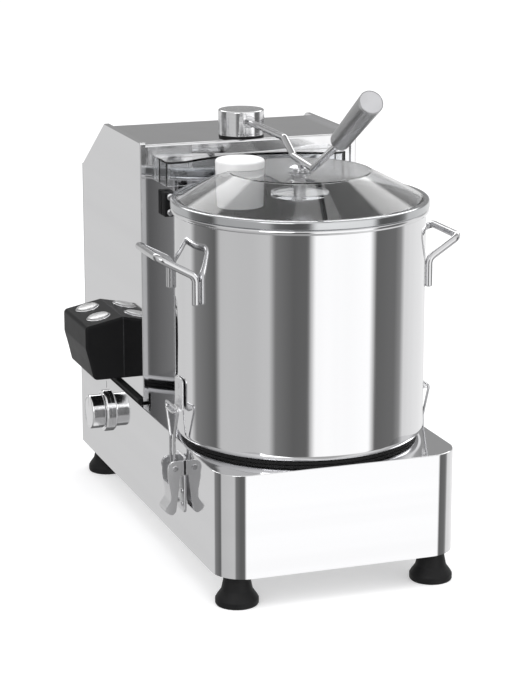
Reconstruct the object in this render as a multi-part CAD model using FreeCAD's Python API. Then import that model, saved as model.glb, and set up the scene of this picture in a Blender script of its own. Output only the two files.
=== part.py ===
import FreeCAD, Part
import math
import os

# Bench bowl cutter with a 12 litre bowl: a rounded sheet steel base on four
# rubber feet, a column behind the bowl that holds the motor, a polished bowl
# held down by two toggle latches, a clear lid, and an arm that locks the lid.
# Millimetres, +Z up, the front towards -Y. The origin is on the bench under
# the middle of the whole machine.

# Clearances
fit_gap = 0.3
slip = 0.2
running_gap = 0.05

# Base and feet
base_width = 264.0
base_height = 110.0
base_corner = 24.0
sheet = 1.5
floor_sheet = 2.0
floor_lip = 14.0
foot_height = 33.0
foot_radius = 22.6
foot_neck = 14.2
foot_inset = 24.0
foot_bolt = 4.0
foot_bolt_rise = 2.5
foot_bolt_head = 6.5
foot_bolt_head_height = 5.5
foot_recess = 8.5
foot_nut_height = 6.5

# Column
column_inset = 6.2
column_depth = 237.2
bowl_to_column = 24.0
column_above_lid = 10.3
column_top_depth = 142.5
column_slope_drop = 60.9
gasket_height = 7.0
gasket_width = 15.0
gasket_proud = 5.8
flange_width = 6.0
flange_lip = 3.0

# Rear cover and cable gland
vent_length = 62.0
vent_height = 5.0
vent_pitch = 13.0
vent_count = 7
vent_gap = 14.88
vent_drop = 60.0
rear_flange = 16.0
cover_screw = 2.0
cover_screw_head = 3.8
cover_screw_head_height = 1.8
cover_screw_length = 10.0
cover_screw_inset = 16.0
gland_bore = 4.5
gland_radius = 10.5
gland_shoulder = 2.5
gland_nose = 16.0
gland_offset = 62.0
gland_rise = 32.0

# Bowl
bowl_margin = 0.4
bowl_setback = 1.1
bowl_height = 239.5
bowl_wall = 1.5
bowl_corner = 8.0
rim_bead = 3.0
seat_ring_height = 5.5
seat_ring_width = 13.0
chimney_radius = 18.5
chimney_height = 75.0
handle_rod = 4.0
handle_spread = 43.0
handle_bar_half = 35.5
handle_reach = 34.4
handle_leg = 30.0
handle_slope = 20.0
handle_drop = 38.0
handle_bend = 9.0

# Toggle latches
catch_width = 24.0
catch_height = 33.0
catch_drop = 174.0
catch_sheet = 2.0
catch_reach = 14.0
latch_width = 26.0
latch_sheet = 1.5
latch_plate_height = 62.0
latch_plate_drop = 12.0
latch_pin_drop = 24.3
latch_pin_reach = 10.5
latch_pin = 2.0
latch_ear = 8.0
lever_length = 52.0
lever_depth = 7.5
lever_waist = 4.5
lever_crank = 13.0
lever_tail = 11.5
wire = 1.5
bail_neck = 6.3
bail_half = 21.0
bail_flare = 35.1

# Lid
lid_cone_width = 57.6
lid_rise = 28.0
lid_wall = 3.0
lid_ring_height = 8.5
lid_ring_width = 6.0
lid_ring_overhang = 3.4
lid_ring_ledge = 7.0
lid_ring_floor = 2.0
knob_radius = 12.3
knob_top_radius = 5.5
knob_bolt = 4.0
knob_nut = 9.5
knob_nut_height = 6.0
disc_radius = 30.5
disc_drop = 25.5
disc_thickness = 3.0
plug_radius = 26.0
plug_taper = 1.6
plug_height = 52.0
plug_stand = 9.0
plug_side = 52.9
plug_back = 37.3

# Arm, post and grip
post_setback = 28.7
post_radius = 9.0
post_depth = 58.0
cap_radius = 25.6
cap_height = 27.3
post_ring_height = 2.2
post_ring_radius = 25.0
bush_wall = 5.0
bush_depth = 38.0
arm_rod = 4.5
arm_drop_run = 28.0
arm_before_knob = 18.3
arm_after_knob = 37.7
arm_handle_run = 70.0
arm_rise = 17.0
arm_fall = 14.5
arm_sink = 3.4
arm_lift = 36.5
grip_radius = 12.25
grip_neck = 10.2
grip_length = 98.5
grip_edge = 1.2
grip_slope = 32.2

# Clear guard and lid switch on the column front
guard_inset = 21.8
guard_depth = 28.0
guard_height = 27.0
guard_wall = 3.0
guard_above_rim = 2.0
guard_gap = 4.5
switch_width = 13.0
switch_height = 27.0
switch_depth = 12.0
switch_inset = 9.0
switch_drop = 7.5
switch_screw_inset = 5.0

# Control box, buttons and speed knob
box_depth = 44.2
box_length = 98.0
box_height = 72.0
box_top_fall = 9.1
box_wall = 2.5
box_setback = 74.7
box_floor_rise = 9.5
box_under = 9.0
button_radius = 12.0
button_rise = 2.6
button_edge = 1.0
button_dome = 0.7
button_travel = 2.5
button_skirt = 2.5
button_spacing = 47.0
bezel_radius = 14.0
bezel_height = 1.2
button_stem = 4.0
button_stem_length = 9.0
contact_block = 18.0
contact_height = 26.0
contact_drop = 15.0
contact_well = 22.0
selector_radius = 19.8
selector_length = 16.0
selector_ring_radius = 24.4
selector_ring_height = 6.0
selector_setback = 127.7
selector_rise = 68.0
selector_shaft = 4.0
selector_body = 17.0
selector_body_depth = 24.0

# Drive
spindle = 12.5
spindle_drive = 10.0
spindle_drive_length = 28.0
bearing_radius = 26.0
bearing_width = 15.0
housing_wall = 8.0
housing_flange = 50.0
housing_flange_height = 3.0
housing_depth = 66.0
spindle_pulley = 48.0
motor_pulley = 24.0
pulley_width = 18.0
belt_width = 10.0
belt_thickness = 7.0
pulley_clear = 11.0
motor_front_gap = 52.2
motor_back_gap = 36.5
motor_length = 170.0
motor_shaft = 9.0
motor_fin = 6.0
motor_fin_count = 20
motor_shield = 18.0
fan_cover_height = 36.0
mount_plate = 5.0
mount_side_gap = 13.8
mount_overlap = 12.0
capacitor_radius = 20.0
capacitor_length = 80.0

# Blades and their hub
hub_radius = 26.5
hub_top_radius = 22.5
hub_wall = 4.5
hub_knob = 15.0
hub_knob_height = 22.0
hub_straight = 46.0
hub_shoulder = 6.0
hub_flutes = 8
flute_radius = 4.0
flute_offset = 2.2
blade_thickness = 3.0
blade_tip_gap = 7.1
blade_root = 30.0
blade_bow = 34.0
lower_blade_rise = 6.0
upper_blade_rise = 34.0
bevel = 1.2

# Sizes and places worked out from the ones above
half_base = base_width / 2
half_column = half_base - column_inset
bowl_radius = half_base - bowl_margin
bowl_centre = bowl_radius + bowl_setback
column_front = bowl_centre + bowl_radius + bowl_to_column
base_depth = column_front + column_depth + sheet
column_room = column_depth - flange_lip - sheet
motor_radius = (column_room - motor_front_gap - motor_back_gap) / 2
motor_setback = column_front + flange_lip + sheet + motor_front_gap + motor_radius
mount_half_width = half_column - mount_side_gap
guard_half = half_column - guard_inset
guard_round = bowl_radius + lid_ring_overhang + guard_gap
switch_side = guard_half - switch_inset
lid_flat = bowl_radius - lid_cone_width
column_rise = seat_ring_height + bowl_height + lid_ring_height + lid_rise + column_above_lid
blade_reach = bowl_radius - bowl_wall - blade_tip_gap
knob_reach = column_front + post_setback - bowl_centre
arm_drop_reach = knob_reach - arm_before_knob
arm_first_reach = arm_drop_reach - arm_drop_run
arm_knee_reach = knob_reach + arm_after_knob
arm_grip_reach = arm_knee_reach + arm_handle_run
grip_tilt = math.radians(grip_slope)
grip_reach = ((grip_length - grip_edge) * math.cos(grip_tilt)
              + (grip_radius - grip_edge) * math.sin(grip_tilt) + grip_edge)
overall_front = column_front + post_setback - arm_grip_reach - grip_reach
overall_back = base_depth + gland_nose
front_y = -(overall_front + overall_back) / 2
back_y = front_y + base_depth
base_z = foot_height
deck_z = base_z + base_height
column_y = front_y + column_front
column_z = deck_z + column_rise
plate_z = column_z - flange_lip
panel_y = column_y + flange_lip
shoulder_z = column_z - column_slope_drop
tray_back = back_y - sheet
bowl_y = front_y + bowl_centre
bowl_z = deck_z + seat_ring_height
rim_z = bowl_z + bowl_height
lid_edge_z = rim_z + lid_ring_height
lid_top_z = lid_edge_z + lid_rise
post_y = column_y + post_setback
arm_z = plate_z + arm_rise + post_ring_height
latch_x = half_base + latch_pin_reach
latch_z = deck_z - latch_pin_drop
crank_x = latch_x - 1.0
crank_z = latch_z - lever_crank
catch_z = rim_z - catch_drop - catch_height
bail_z = catch_z + catch_sheet + fit_gap + wire
selector_y = column_y + selector_setback
selector_z = base_z + selector_rise
box_front_y = column_y + box_setback
box_mid_y = box_front_y + box_length / 2
box_z = deck_z + box_floor_rise
box_top_z = box_z + box_height
motor_y = front_y + motor_setback
belt_z = base_z + floor_sheet + pulley_clear + pulley_width / 2
chimney_z = bowl_z + chimney_height
spindle_top = chimney_z + 12.0

up = FreeCAD.Vector(0, 0, 1)
across = FreeCAD.Vector(1, 0, 0)
back = FreeCAD.Vector(0, 1, 0)


def point(x, y, z):
    return FreeCAD.Vector(x, y, z)


def block(low, high):
    """Box between two opposite corners."""
    size = point(*high) - point(*low)
    return Part.makeBox(size.x, size.y, size.z, point(*low))


def drum(radius, start, axis, length):
    """Cylinder from a start point along an axis."""
    return Part.makeCylinder(radius, length, start, axis)


def chain(place, start, *steps):
    """Closed wire: a step of two numbers is a line, of four an arc."""
    edges = []
    here = place(*start)
    for step in steps:
        there = place(*step[-2:])
        if len(step) == 4:
            edges.append(Part.Arc(here, place(*step[:2]), there).toShape())
        else:
            edges.append(Part.LineSegment(here, there).toShape())
        here = there
    first = place(*start)
    if here.distanceToPoint(first) > 1e-6:
        edges.append(Part.LineSegment(here, first).toShape())
    return Part.Wire(edges)


def upright(shape):
    """The same solid with its faces pointing outwards."""
    if shape.Volume < 0:
        shape.reverse()
    return shape


def turned(x, y, start, *steps):
    """Solid of revolution about a vertical axis, from radius and height pairs."""
    section = Part.Face(chain(lambda r, z: point(x + r, y, z), start, *steps))
    return upright(section.revolve(point(x, y, 0), up, 360))


def raised(z, height, start, *steps):
    """Prism with a plan outline, from z upwards."""
    return upright(Part.Face(chain(lambda x, y: point(x, y, z), start, *steps)).extrude(up * height))


def slab(x, width, start, *steps):
    """Prism with an outline in the YZ plane, from x along +X."""
    return upright(Part.Face(chain(lambda y, z: point(x, y, z), start, *steps)).extrude(across * width))


def cross_bar(y, length, start, *steps):
    """Prism with an outline in the XZ plane, from y along +Y."""
    return upright(Part.Face(chain(lambda x, z: point(x, y, z), start, *steps)).extrude(back * length))


def hexagon(radius, start, axis, height):
    """Hexagonal prism, radius to the flats."""
    prism = Part.makePolygon([point(radius / math.cos(math.pi / 6) * math.cos(k * math.pi / 3),
                                    radius / math.cos(math.pi / 6) * math.sin(k * math.pi / 3), 0)
                              for k in range(7)])
    solid = Part.Face(prism).extrude(up * height)
    solid.Placement = FreeCAD.Placement(start, FreeCAD.Rotation(up, axis))
    return solid


def bent_rod(points, bend, radius):
    """Round rod along straight runs joined by tangent arcs."""
    edges = []
    here = points[0]
    for before, corner, after in zip(points, points[1:], points[2:]):
        way_in = (before - corner).normalize()
        way_out = (after - corner).normalize()
        half_turn = (math.pi - way_in.getAngle(way_out)) / 2
        reach = bend * math.tan(half_turn)
        middle = (way_in + way_out).normalize()
        centre = corner + middle * (bend / math.cos(half_turn))
        arc_start = corner + way_in * reach
        arc_end = corner + way_out * reach
        edges.append(Part.LineSegment(here, arc_start).toShape())
        edges.append(Part.Arc(arc_start, centre - middle * bend, arc_end).toShape())
        here = arc_end
    edges.append(Part.LineSegment(here, points[-1]).toShape())
    start_way = points[1] - points[0]
    ring = Part.Wire([Part.Circle(points[0], start_way, radius).toShape()])
    return upright(Part.Wire(edges).makePipeShell([ring], True, False))


def mirrored(shape):
    return upright(shape.mirror(point(0, 0, 0), across))


def base_plan(inset, z, height, rear):
    """Plan of the base with its two rounded front corners, drawn in by an inset."""
    x = half_base - inset
    y = front_y + inset
    r = max(base_corner - inset, 1.0)
    k = r * (1 - math.sqrt(0.5))
    return raised(z, height, (-x, rear), (-x, y + r), (-x + k, y + k, -x + r, y),
                  (x - r, y), (x - k, y + k, x, y + r), (x, rear))


def base_housing():
    """Folded shell: front, two sides and the deck, open below and behind."""
    shell = base_plan(0, base_z, base_height, tray_back)
    hollow = base_plan(sheet, base_z - 1, base_height + 1 - sheet, back_y + 1)
    shell = shell.cut(hollow)
    inside = half_base - sheet
    flange = block((-inside, tray_back - sheet, deck_z - rear_flange), (inside, tray_back, deck_z - sheet))
    shell = shell.fuse(flange).removeSplitter()
    cuts = [drum(cover_screw, point(x, tray_back - 2 * sheet, z), back, 3 * sheet) for x, z in cover_screw_places()]
    cuts += [
        drum(bearing_radius + housing_wall + slip, point(0, bowl_y, deck_z - 2 * sheet), up, 3 * sheet),
        block((-mount_half_width + mount_overlap, panel_y + sheet + mount_overlap, deck_z - 2 * sheet),
              (mount_half_width - mount_overlap, tray_back - 2 * mount_overlap, deck_z + sheet)),
        drum(selector_shaft + 2, point(-half_base - sheet, selector_y, selector_z), across, 3 * sheet),
    ]
    return shell.cut(Part.makeCompound(cuts))


def foot_centres():
    x = half_base - foot_inset
    return [(-x, front_y + foot_inset), (x, front_y + foot_inset),
            (-x, back_y - foot_inset), (x, back_y - foot_inset)]


def base_floor():
    """Tray that closes the base from below, with an upturned lip and air slots."""
    gap = sheet + slip
    tray = base_plan(gap, base_z, floor_lip, tray_back - slip)
    pocket = base_plan(gap + floor_sheet, base_z + floor_sheet, floor_lip, tray_back - slip - floor_sheet)
    tray = tray.cut(pocket)
    cuts = [drum(foot_bolt + slip, point(x, y, base_z - 1), up, floor_sheet + 2) for x, y in foot_centres()]
    cuts += [drum(cover_screw, point(x, tray_back - 2 * floor_sheet, z), back, 3 * floor_sheet)
             for x, z in cover_screw_places()[:2]]
    for k in range(vent_count):
        y = motor_y + (k - (vent_count - 1) / 2) * vent_pitch
        cuts.append(block((-vent_length / 2, y - vent_height / 2, base_z - 1),
                          (vent_length / 2, y + vent_height / 2, base_z + floor_sheet + 1)))
    return tray.cut(Part.makeCompound(cuts))


def foot(x, y):
    """Trumpet shaped rubber foot with a recess for its bolt."""
    waist = foot_neck + (foot_radius - foot_neck) * 0.28
    seat = foot_recess
    seat_z = foot_bolt_rise + foot_bolt_head_height
    return turned(x, y, (seat, 0), (foot_radius - 1.4, 0),
                  (foot_radius - 0.3, 1.2, foot_radius, foot_height * 0.13),
                  (foot_radius - 0.4, foot_height * 0.22, foot_radius - 2.0, foot_height * 0.3),
                  (waist, foot_height * 0.48, foot_neck, foot_height * 0.8),
                  (foot_neck, foot_height), (foot_bolt + slip, foot_height),
                  (foot_bolt + slip, seat_z), (seat, seat_z))


def feet():
    return Part.makeCompound([foot(x, y) for x, y in foot_centres()])


def foot_fasteners():
    """A bolt up through each foot and the nut on the floor above it."""
    nut_z = base_z + floor_sheet
    pieces = []
    for x, y in foot_centres():
        head = hexagon(foot_bolt_head, point(x, y, foot_bolt_rise), up, foot_bolt_head_height)
        length = nut_z + foot_nut_height + 2 - foot_bolt_rise
        shank = drum(foot_bolt, point(x, y, foot_bolt_rise), up, length)
        nut = hexagon(foot_bolt_head, point(x, y, nut_z), up, foot_nut_height)
        pieces.append(head.fuse(shank).removeSplitter())
        pieces.append(nut.cut(drum(foot_bolt, point(x, y, nut_z - 1), up, foot_nut_height + 2)))
    return Part.makeCompound(pieces)


def slope_corners(inset):
    """How far an inset moves the corners above and below the column's slope."""
    slope = math.atan2(column_z - shoulder_z, tray_back - column_y - column_top_depth)
    return inset * math.tan(slope / 2), inset * math.tan((math.pi / 2 - slope) / 2)


def column_cover():
    """One folded sheet: the column's front, top and sloping back."""
    half = half_column - sheet - slip
    top_back = column_y + column_top_depth
    drop, low_drop = slope_corners(flange_lip)
    skin = sheet
    thin, low_thin = slope_corners(skin)
    low_y = tray_back - flange_lip
    low_z = shoulder_z - low_drop
    cover = slab(-half, 2 * half, (panel_y, deck_z), (panel_y, plate_z), (top_back - drop, plate_z),
                 (low_y, low_z), (low_y, low_z - rear_flange), (low_y - skin, low_z - rear_flange),
                 (low_y - skin, low_z - low_thin), (top_back - drop - thin, plate_z - skin),
                 (panel_y + skin, plate_z - skin), (panel_y + skin, deck_z))
    cuts = [drum(post_radius + bush_wall + slip, point(0, post_y, plate_z - 2 * skin), up, 3 * skin)]
    for side in (-1, 1):
        inner = side * (half_column + gasket_proud - gasket_width - slip)
        outer = side * (half_column + 1)
        cuts.append(block((min(inner, outer), panel_y - 1, deck_z - 1),
                          (max(inner, outer), panel_y + skin + 1, deck_z + gasket_height + flange_lip + slip)))
    cuts += [drum(cover_screw, point(x, low_y - 2 * skin, z), back, 3 * skin) for x, z in cover_screw_places()]
    return cover.cut(Part.makeCompound(cuts))


def column_side(side):
    """Side tray with a lip all round that laps over the cover."""
    foot_z = deck_z + gasket_height
    back_top = column_y + column_top_depth
    full = [(column_y, foot_z), (column_y, column_z), (back_top, column_z),
            (tray_back, shoulder_z), (tray_back, foot_z)]
    lip = flange_lip
    drop, low_drop = slope_corners(lip)
    inner = [(column_y + lip, foot_z + lip), (column_y + lip, column_z - lip), (back_top - drop, column_z - lip),
             (tray_back - lip, shoulder_z - low_drop), (tray_back - lip, foot_z + lip)]
    tray = slab(-half_column, flange_width, *full)
    tray = tray.cut(slab(-half_column + sheet, flange_width, *inner))
    return tray if side < 0 else mirrored(tray)


def column_gaskets():
    """Rubber strips that the side trays stand on."""
    outer = half_column + gasket_proud
    strip = block((-outer, column_y, deck_z), (-outer + gasket_width, tray_back, deck_z + gasket_height))
    return Part.makeCompound([strip, mirrored(strip)])


def cover_screw_places():
    """Screws into the floor's lip, the deck's flange and the column cover's flange."""
    x = half_base - cover_screw_inset
    flange_top = shoulder_z - slope_corners(flange_lip)[1]
    heights = (base_z + (floor_sheet + floor_lip) / 2, deck_z - rear_flange / 2, flange_top - rear_flange / 2)
    return [(side * x, z) for z in heights for side in (-1, 1)]


def panel_screw(x, y, z, way):
    """Round headed screw whose head bears on a face at the given y."""
    start = point(x, y, z)
    head = drum(cover_screw_head, start, back * way, cover_screw_head_height)
    crown = [edge for edge in head.Edges if edge.Closed and abs(edge.CenterOfMass.y - y) > cover_screw_head_height / 2]
    head = head.makeFillet(cover_screw_head_height / 2, crown)
    shank = drum(cover_screw, start + back * way * 0.5, back * -way, cover_screw_length + 0.5)
    return head.fuse(shank).removeSplitter()


def rear_cover():
    """Flat back plate, wide at the base and narrow up the column, with air slots."""
    foot_z = base_z
    low = half_base
    high = half_column
    plate = cross_bar(tray_back, sheet, (-low, foot_z), (low, foot_z), (low, deck_z), (high, deck_z),
                      (high, shoulder_z), (-high, shoulder_z), (-high, deck_z), (-low, deck_z))
    thread = gland_radius - gland_shoulder
    cuts = [drum(thread + slip, point(gland_offset, tray_back - 1, base_z + gland_rise), back, sheet + 2)]
    for side in (-1, 1):
        for k in range(vent_count):
            x = side * (vent_length + vent_gap) / 2
            z = shoulder_z - vent_drop - k * vent_pitch
            cuts.append(block((x - vent_length / 2, tray_back - 1, z), (x + vent_length / 2, back_y + 1, z + vent_height)))
    for x, z in cover_screw_places():
        cuts.append(drum(cover_screw + slip, point(x, tray_back - 1, z), back, sheet + 2))
    return plate.cut(Part.makeCompound(cuts))


def panel_screws():
    """The screws of the rear cover and the lid switch, all alike."""
    screws = [panel_screw(x, back_y, z, 1) for x, z in cover_screw_places()]
    screws += [panel_screw(-switch_side, panel_y - switch_depth, z, -1) for z in switch_screw_heights()]
    return Part.makeCompound(screws)


def cable_gland():
    """Gland with its bore open for a cable, and the lock nut inside the cover."""
    x = gland_offset
    z = base_z + gland_rise
    start = point(x, back_y, z)
    body = hexagon(gland_radius + 1.5, start, back, 6)
    body = body.fuse(drum(gland_radius, point(x, back_y + 5, z), back, gland_nose - 8))
    body = body.fuse(Part.makeCone(gland_radius, gland_bore + 2, 3, point(x, back_y + gland_nose - 3, z), back))
    thread = gland_radius - gland_shoulder
    body = body.fuse(drum(thread, point(x, back_y - 12, z), back, 14)).removeSplitter()
    body = body.cut(drum(gland_bore, point(x, back_y - 13, z), back, gland_nose + 14))
    nut = hexagon(gland_radius + 1.5, point(x, tray_back - 5, z), back, 5)
    nut = nut.cut(drum(thread, point(x, tray_back - 6, z), back, 7))
    return Part.makeCompound([body, nut])


def bowl():
    """Deep drawn bowl: rolled rim, rounded foot and a central chimney for the spindle."""
    r = bowl_radius
    w = bowl_wall
    c = bowl_corner
    k = c * (1 - math.sqrt(0.5))
    ci = c - w
    ki = ci * (1 - math.sqrt(0.5))
    inner = r - w
    mid = rim_z - rim_bead
    return turned(0, bowl_y, (chimney_radius - w, bowl_z), (r - c, bowl_z), (r - k, bowl_z + k, r, bowl_z + c),
                  (r, rim_z - 2 * rim_bead), (r + rim_bead, mid, r, rim_z), (inner, rim_z),
                  (inner, bowl_z + w + ci), (inner - ki, bowl_z + w + ki, inner - ci, bowl_z + w),
                  (chimney_radius, bowl_z + w), (chimney_radius, chimney_z), (chimney_radius - w, chimney_z))


def bowl_seat_ring():
    outer = bowl_radius - 1.0
    return turned(0, bowl_y, (outer - seat_ring_width, deck_z), (outer, deck_z),
                  (outer + 0.5, deck_z + seat_ring_height / 2, outer, bowl_z), (outer - seat_ring_width, bowl_z))


def bowl_handle(side):
    """Bent round rod, its two legs lying against the bowl."""
    leg_x = -math.sqrt((bowl_radius + slip + handle_rod) ** 2 - handle_spread ** 2)
    bar_x = -(bowl_radius + handle_reach)
    top = rim_z - handle_drop
    bend_z = top - handle_slope
    foot_z = bend_z - handle_leg
    points = [point(leg_x, bowl_y - handle_spread, foot_z), point(leg_x, bowl_y - handle_spread, bend_z),
              point(bar_x, bowl_y - handle_bar_half, top), point(bar_x, bowl_y + handle_bar_half, top),
              point(leg_x, bowl_y + handle_spread, bend_z), point(leg_x, bowl_y + handle_spread, foot_z)]
    rod = bent_rod(points, handle_bend, handle_rod)
    return rod if side < 0 else mirrored(rod)


def bowl_catches():
    """Hook plates on the bowl wall that the latch wires pull down on."""
    half = catch_width / 2
    face_x = bowl_radius + catch_sheet + 0.8
    tip_x = bowl_radius + catch_reach
    low = catch_z
    t = catch_sheet
    bend = 3.0
    k = bend * (1 - math.sqrt(0.5))
    profile = cross_bar(bowl_y - half, 2 * half, (-face_x + t + 2, low + catch_height),
                        (-face_x, low + catch_height), (-face_x, low + t + bend),
                        (-face_x - k, low + t + k, -face_x - bend, low + t), (-tip_x, low + t),
                        (-tip_x, low), (-face_x + t + 2, low))
    wall = drum(bowl_radius, point(0, bowl_y, low - 1), up, catch_height + 2)
    plate = profile.cut(wall)
    top_corners = [edge for edge in plate.Edges if edge.Length < 4 and edge.CenterOfMass.z > low + catch_height - 0.01
                   and abs(edge.CenterOfMass.y - bowl_y) > half - 0.01]
    plate = plate.makeFillet(6.0, top_corners) if len(top_corners) == 2 else plate
    return Part.makeCompound([plate, mirrored(plate)])


def latch_plates():
    """Base plates of the toggle latches, each with two ears for its pins."""
    half = latch_width / 2
    top = deck_z - latch_plate_drop
    face = -half_base
    plate = block((face - latch_sheet, bowl_y - half, top - latch_plate_height), (face, bowl_y + half, top))
    for y in (bowl_y - half, bowl_y + half - latch_sheet):
        round_ear = drum(latch_ear, point(-latch_x, y, latch_z), back, latch_sheet)
        web = block((-latch_x, y, latch_z - latch_ear), (face, y + latch_sheet, latch_z + latch_ear))
        plate = plate.fuse(round_ear).fuse(web)
    hole = drum(latch_pin, point(-latch_x, bowl_y - half - 1, latch_z), back, latch_width + 2)
    plate = plate.removeSplitter().cut(hole)
    return Part.makeCompound([plate, mirrored(plate)])


def latch_pins():
    """Short headed rivets, one through each ear and cheek, clear of the wire between them."""
    length = latch_width / 2 - lever_cheek_half() + latch_sheet + slip
    pins = []
    for side in (-1, 1):
        for end in (-1, 1):
            face = point(side * latch_x, bowl_y + end * latch_width / 2, latch_z)
            head = drum(latch_pin + 1.2, face, back * end, 1.0)
            pins.append(head.fuse(drum(latch_pin, face + back * end * 0.5, back * -end, length + 0.5)).removeSplitter())
    return Part.makeCompound(pins)


def lever_cheek_half():
    """Half width over the lever's cheeks, inside the ears."""
    return latch_width / 2 - latch_sheet - 0.5


def lever_outline():
    """Side view of the lever about its pin."""
    r = latch_ear - 0.5
    k = r * math.sqrt(0.5)
    x = -latch_x
    z = latch_z
    waist = x - lever_waist
    tail = x - lever_tail
    low = z - lever_length
    return [(x, z + r), (x - k, z + k, x - r, z), (x - lever_depth, crank_z),
            (waist, crank_z - 14), (waist, low + 20), (waist - 1, low + 14, tail + 1, low + 9),
            (tail - 0.5, low + 6.5, tail + 2, low + 4), (x - 3, low), (x + 1, low + 4),
            (x + 3, low + 18), (x + 5.5, crank_z), (x + r, z), (x + k, z + k, x, z + r)]


def latch_lever(side):
    """Pressed lever: two cheeks, a cover below the wire's pivot and a curled tail."""
    half = lever_cheek_half()
    t = latch_sheet
    lever = cross_bar(bowl_y - half, 2 * half, *lever_outline())
    x = -latch_x
    z = latch_z
    low = z - lever_length
    top = z + latch_ear + 1
    cover_top = crank_z - wire - 3
    hollow = cross_bar(bowl_y - half + t, 2 * (half - t), (x - 12, top), (x - 12, cover_top), (x - lever_waist + t, cover_top),
                       (x - lever_waist + t, low + 20), (x - lever_waist - 1, low + 13), (x - lever_tail + 5, low + 8),
                       (x - 4, low + 4), (x + 8, low + 4), (x + 12, top))
    lever = lever.cut(hollow)
    holes = [drum(latch_pin + running_gap, point(x, bowl_y - half - 1, z), back, 2 * half + 2),
             drum(wire + running_gap, point(-crank_x, bowl_y - half - 1, crank_z), back, 2 * half + 2)]
    lever = lever.cut(Part.makeCompound(holes))
    return lever if side < 0 else mirrored(lever)


def latch_bail(side):
    """Wire loop from the lever up to the hook plate, its feet turned out into the cheeks."""
    foot_half = lever_cheek_half() - slip
    neck_z = bail_z - bail_flare
    points = []
    for s in (-1, 1):
        leg = [point(-crank_x, bowl_y + s * foot_half, crank_z), point(-crank_x, bowl_y + s * bail_neck, crank_z),
               point(-crank_x, bowl_y + s * bail_neck, neck_z), point(-crank_x, bowl_y + s * bail_half, bail_z)]
        points += leg if s < 0 else leg[::-1]
    bail = bent_rod(points, 2 * wire, wire)
    return bail if side < 0 else mirrored(bail)


def plug_place():
    return -plug_side, bowl_y + plug_back


def plug_cone(grow):
    """Tapered round plug, thinner at its foot."""
    x, y = plug_place()
    top = lid_top_z + plug_stand
    low = top - plug_height
    return Part.makeCone(plug_radius - plug_taper + grow, plug_radius + grow, plug_height, point(x, y, low), up)


def feed_plug():
    plug = plug_cone(0)
    top = lid_top_z + plug_stand
    rims = [edge for edge in plug.Edges if edge.Closed and edge.CenterOfMass.z > top - 1]
    return plug.makeFillet(3.0, rims)


def lid_shell():
    """Clear cone with a flat top, a hole for the plug and one for the knob's bolt."""
    edge = bowl_radius + lid_ring_overhang - lid_ring_width
    floor = rim_z + lid_ring_floor
    slope = math.atan2(lid_rise, edge - lid_flat)
    t = lid_wall
    edge_drop = t * math.tan((math.pi / 2 - slope) / 2)
    flat_cut = t * math.tan(slope / 2)
    shell = turned(0, bowl_y, (edge, floor), (edge, lid_edge_z), (lid_flat, lid_top_z),
                   (knob_bolt + running_gap, lid_top_z), (knob_bolt + running_gap, lid_top_z - t),
                   (lid_flat - flat_cut, lid_top_z - t), (edge - t, lid_edge_z - edge_drop), (edge - t, floor))
    return shell.cut(plug_cone(fit_gap))


def lid_rim_ring():
    """Ring that wraps the edge of the lid and rests on the bowl's rim."""
    outer = bowl_radius + lid_ring_overhang
    edge = outer - lid_ring_width
    top = lid_edge_z
    low = rim_z
    r = 2.2
    k = r * (1 - math.sqrt(0.5))
    return turned(0, bowl_y, (edge - lid_ring_ledge, low), (outer - 0.8, low), (outer, low + 0.8),
                  (outer, top - r), (outer - k, top - k, outer - r, top), (edge, top),
                  (edge, low + lid_ring_floor), (edge - lid_ring_ledge, low + lid_ring_floor))


def lid_knob():
    """Turned knob: a thin foot, a hollow cone and a small flat top under the arm."""
    low = lid_top_z + fit_gap
    top = knob_top()
    return turned(0, bowl_y, (0, low), (knob_radius, low), (knob_radius, low + 1.4),
                  (knob_top_radius + 3.0, low + 2.6, knob_top_radius, top), (0, top))


def arm_knee_height():
    return arm_z - arm_fall - arm_sink


def knob_top():
    """Height just under the arm where it crosses the far edge of the knob."""
    drop_z = arm_z - arm_fall
    reach = post_y - bowl_y + knob_top_radius
    share = (reach - arm_drop_reach) / (arm_knee_reach - arm_drop_reach)
    return drop_z + (arm_knee_height() - drop_z) * share - arm_rod - fit_gap


def knob_bolt_piece():
    """Bolt under the knob with the nut and sleeve that carry the disc."""
    low = lid_top_z - disc_drop
    nut_top = lid_top_z - lid_wall - fit_gap
    bolt = drum(knob_bolt, point(0, bowl_y, low), up, disc_drop + fit_gap)
    nut = hexagon(knob_nut - 1, point(0, bowl_y, nut_top - knob_nut_height), up, knob_nut_height)
    sleeve = drum(knob_bolt + 2.5, point(0, bowl_y, low), up, nut_top - knob_nut_height - low)
    return bolt.fuse([nut, sleeve]).removeSplitter()


def lid_disc():
    """Clear disc with a raised edge and one tab, hung under the lid."""
    top = lid_top_z - disc_drop
    low = top - disc_thickness
    disc = turned(0, bowl_y, (0, low), (disc_radius, low), (disc_radius, top + 1.2),
                  (disc_radius - 2, top + 1.2), (disc_radius - 2, top), (0, top))
    tab = block((-disc_radius * 0.62, bowl_y - disc_radius - 4, low), (-disc_radius * 0.3, bowl_y - disc_radius + 9, top))
    return disc.fuse(tab).removeSplitter()


def post_shaft():
    shaft = drum(post_radius, point(0, post_y, plate_z - post_depth), up, post_depth + post_ring_height + fit_gap)
    groove = turned(0, post_y, (post_radius - 1.2, plate_z - bush_depth - 3.2), (post_radius + 1, plate_z - bush_depth - 3.2),
                    (post_radius + 1, plate_z - bush_depth - 1.8), (post_radius - 1.2, plate_z - bush_depth - 1.8))
    return shaft.cut(groove)


def post_circlip():
    low = plate_z - bush_depth - 3.0
    ring = turned(0, post_y, (post_radius - 1.0, low), (post_radius + 3.5, low), (post_radius + 3.5, low + 1.0),
                  (post_radius - 1.0, low + 1.0))
    return ring.cut(block((-2.5, post_y, low - 1), (2.5, post_y + 2 * post_radius, low + 2)))


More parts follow.
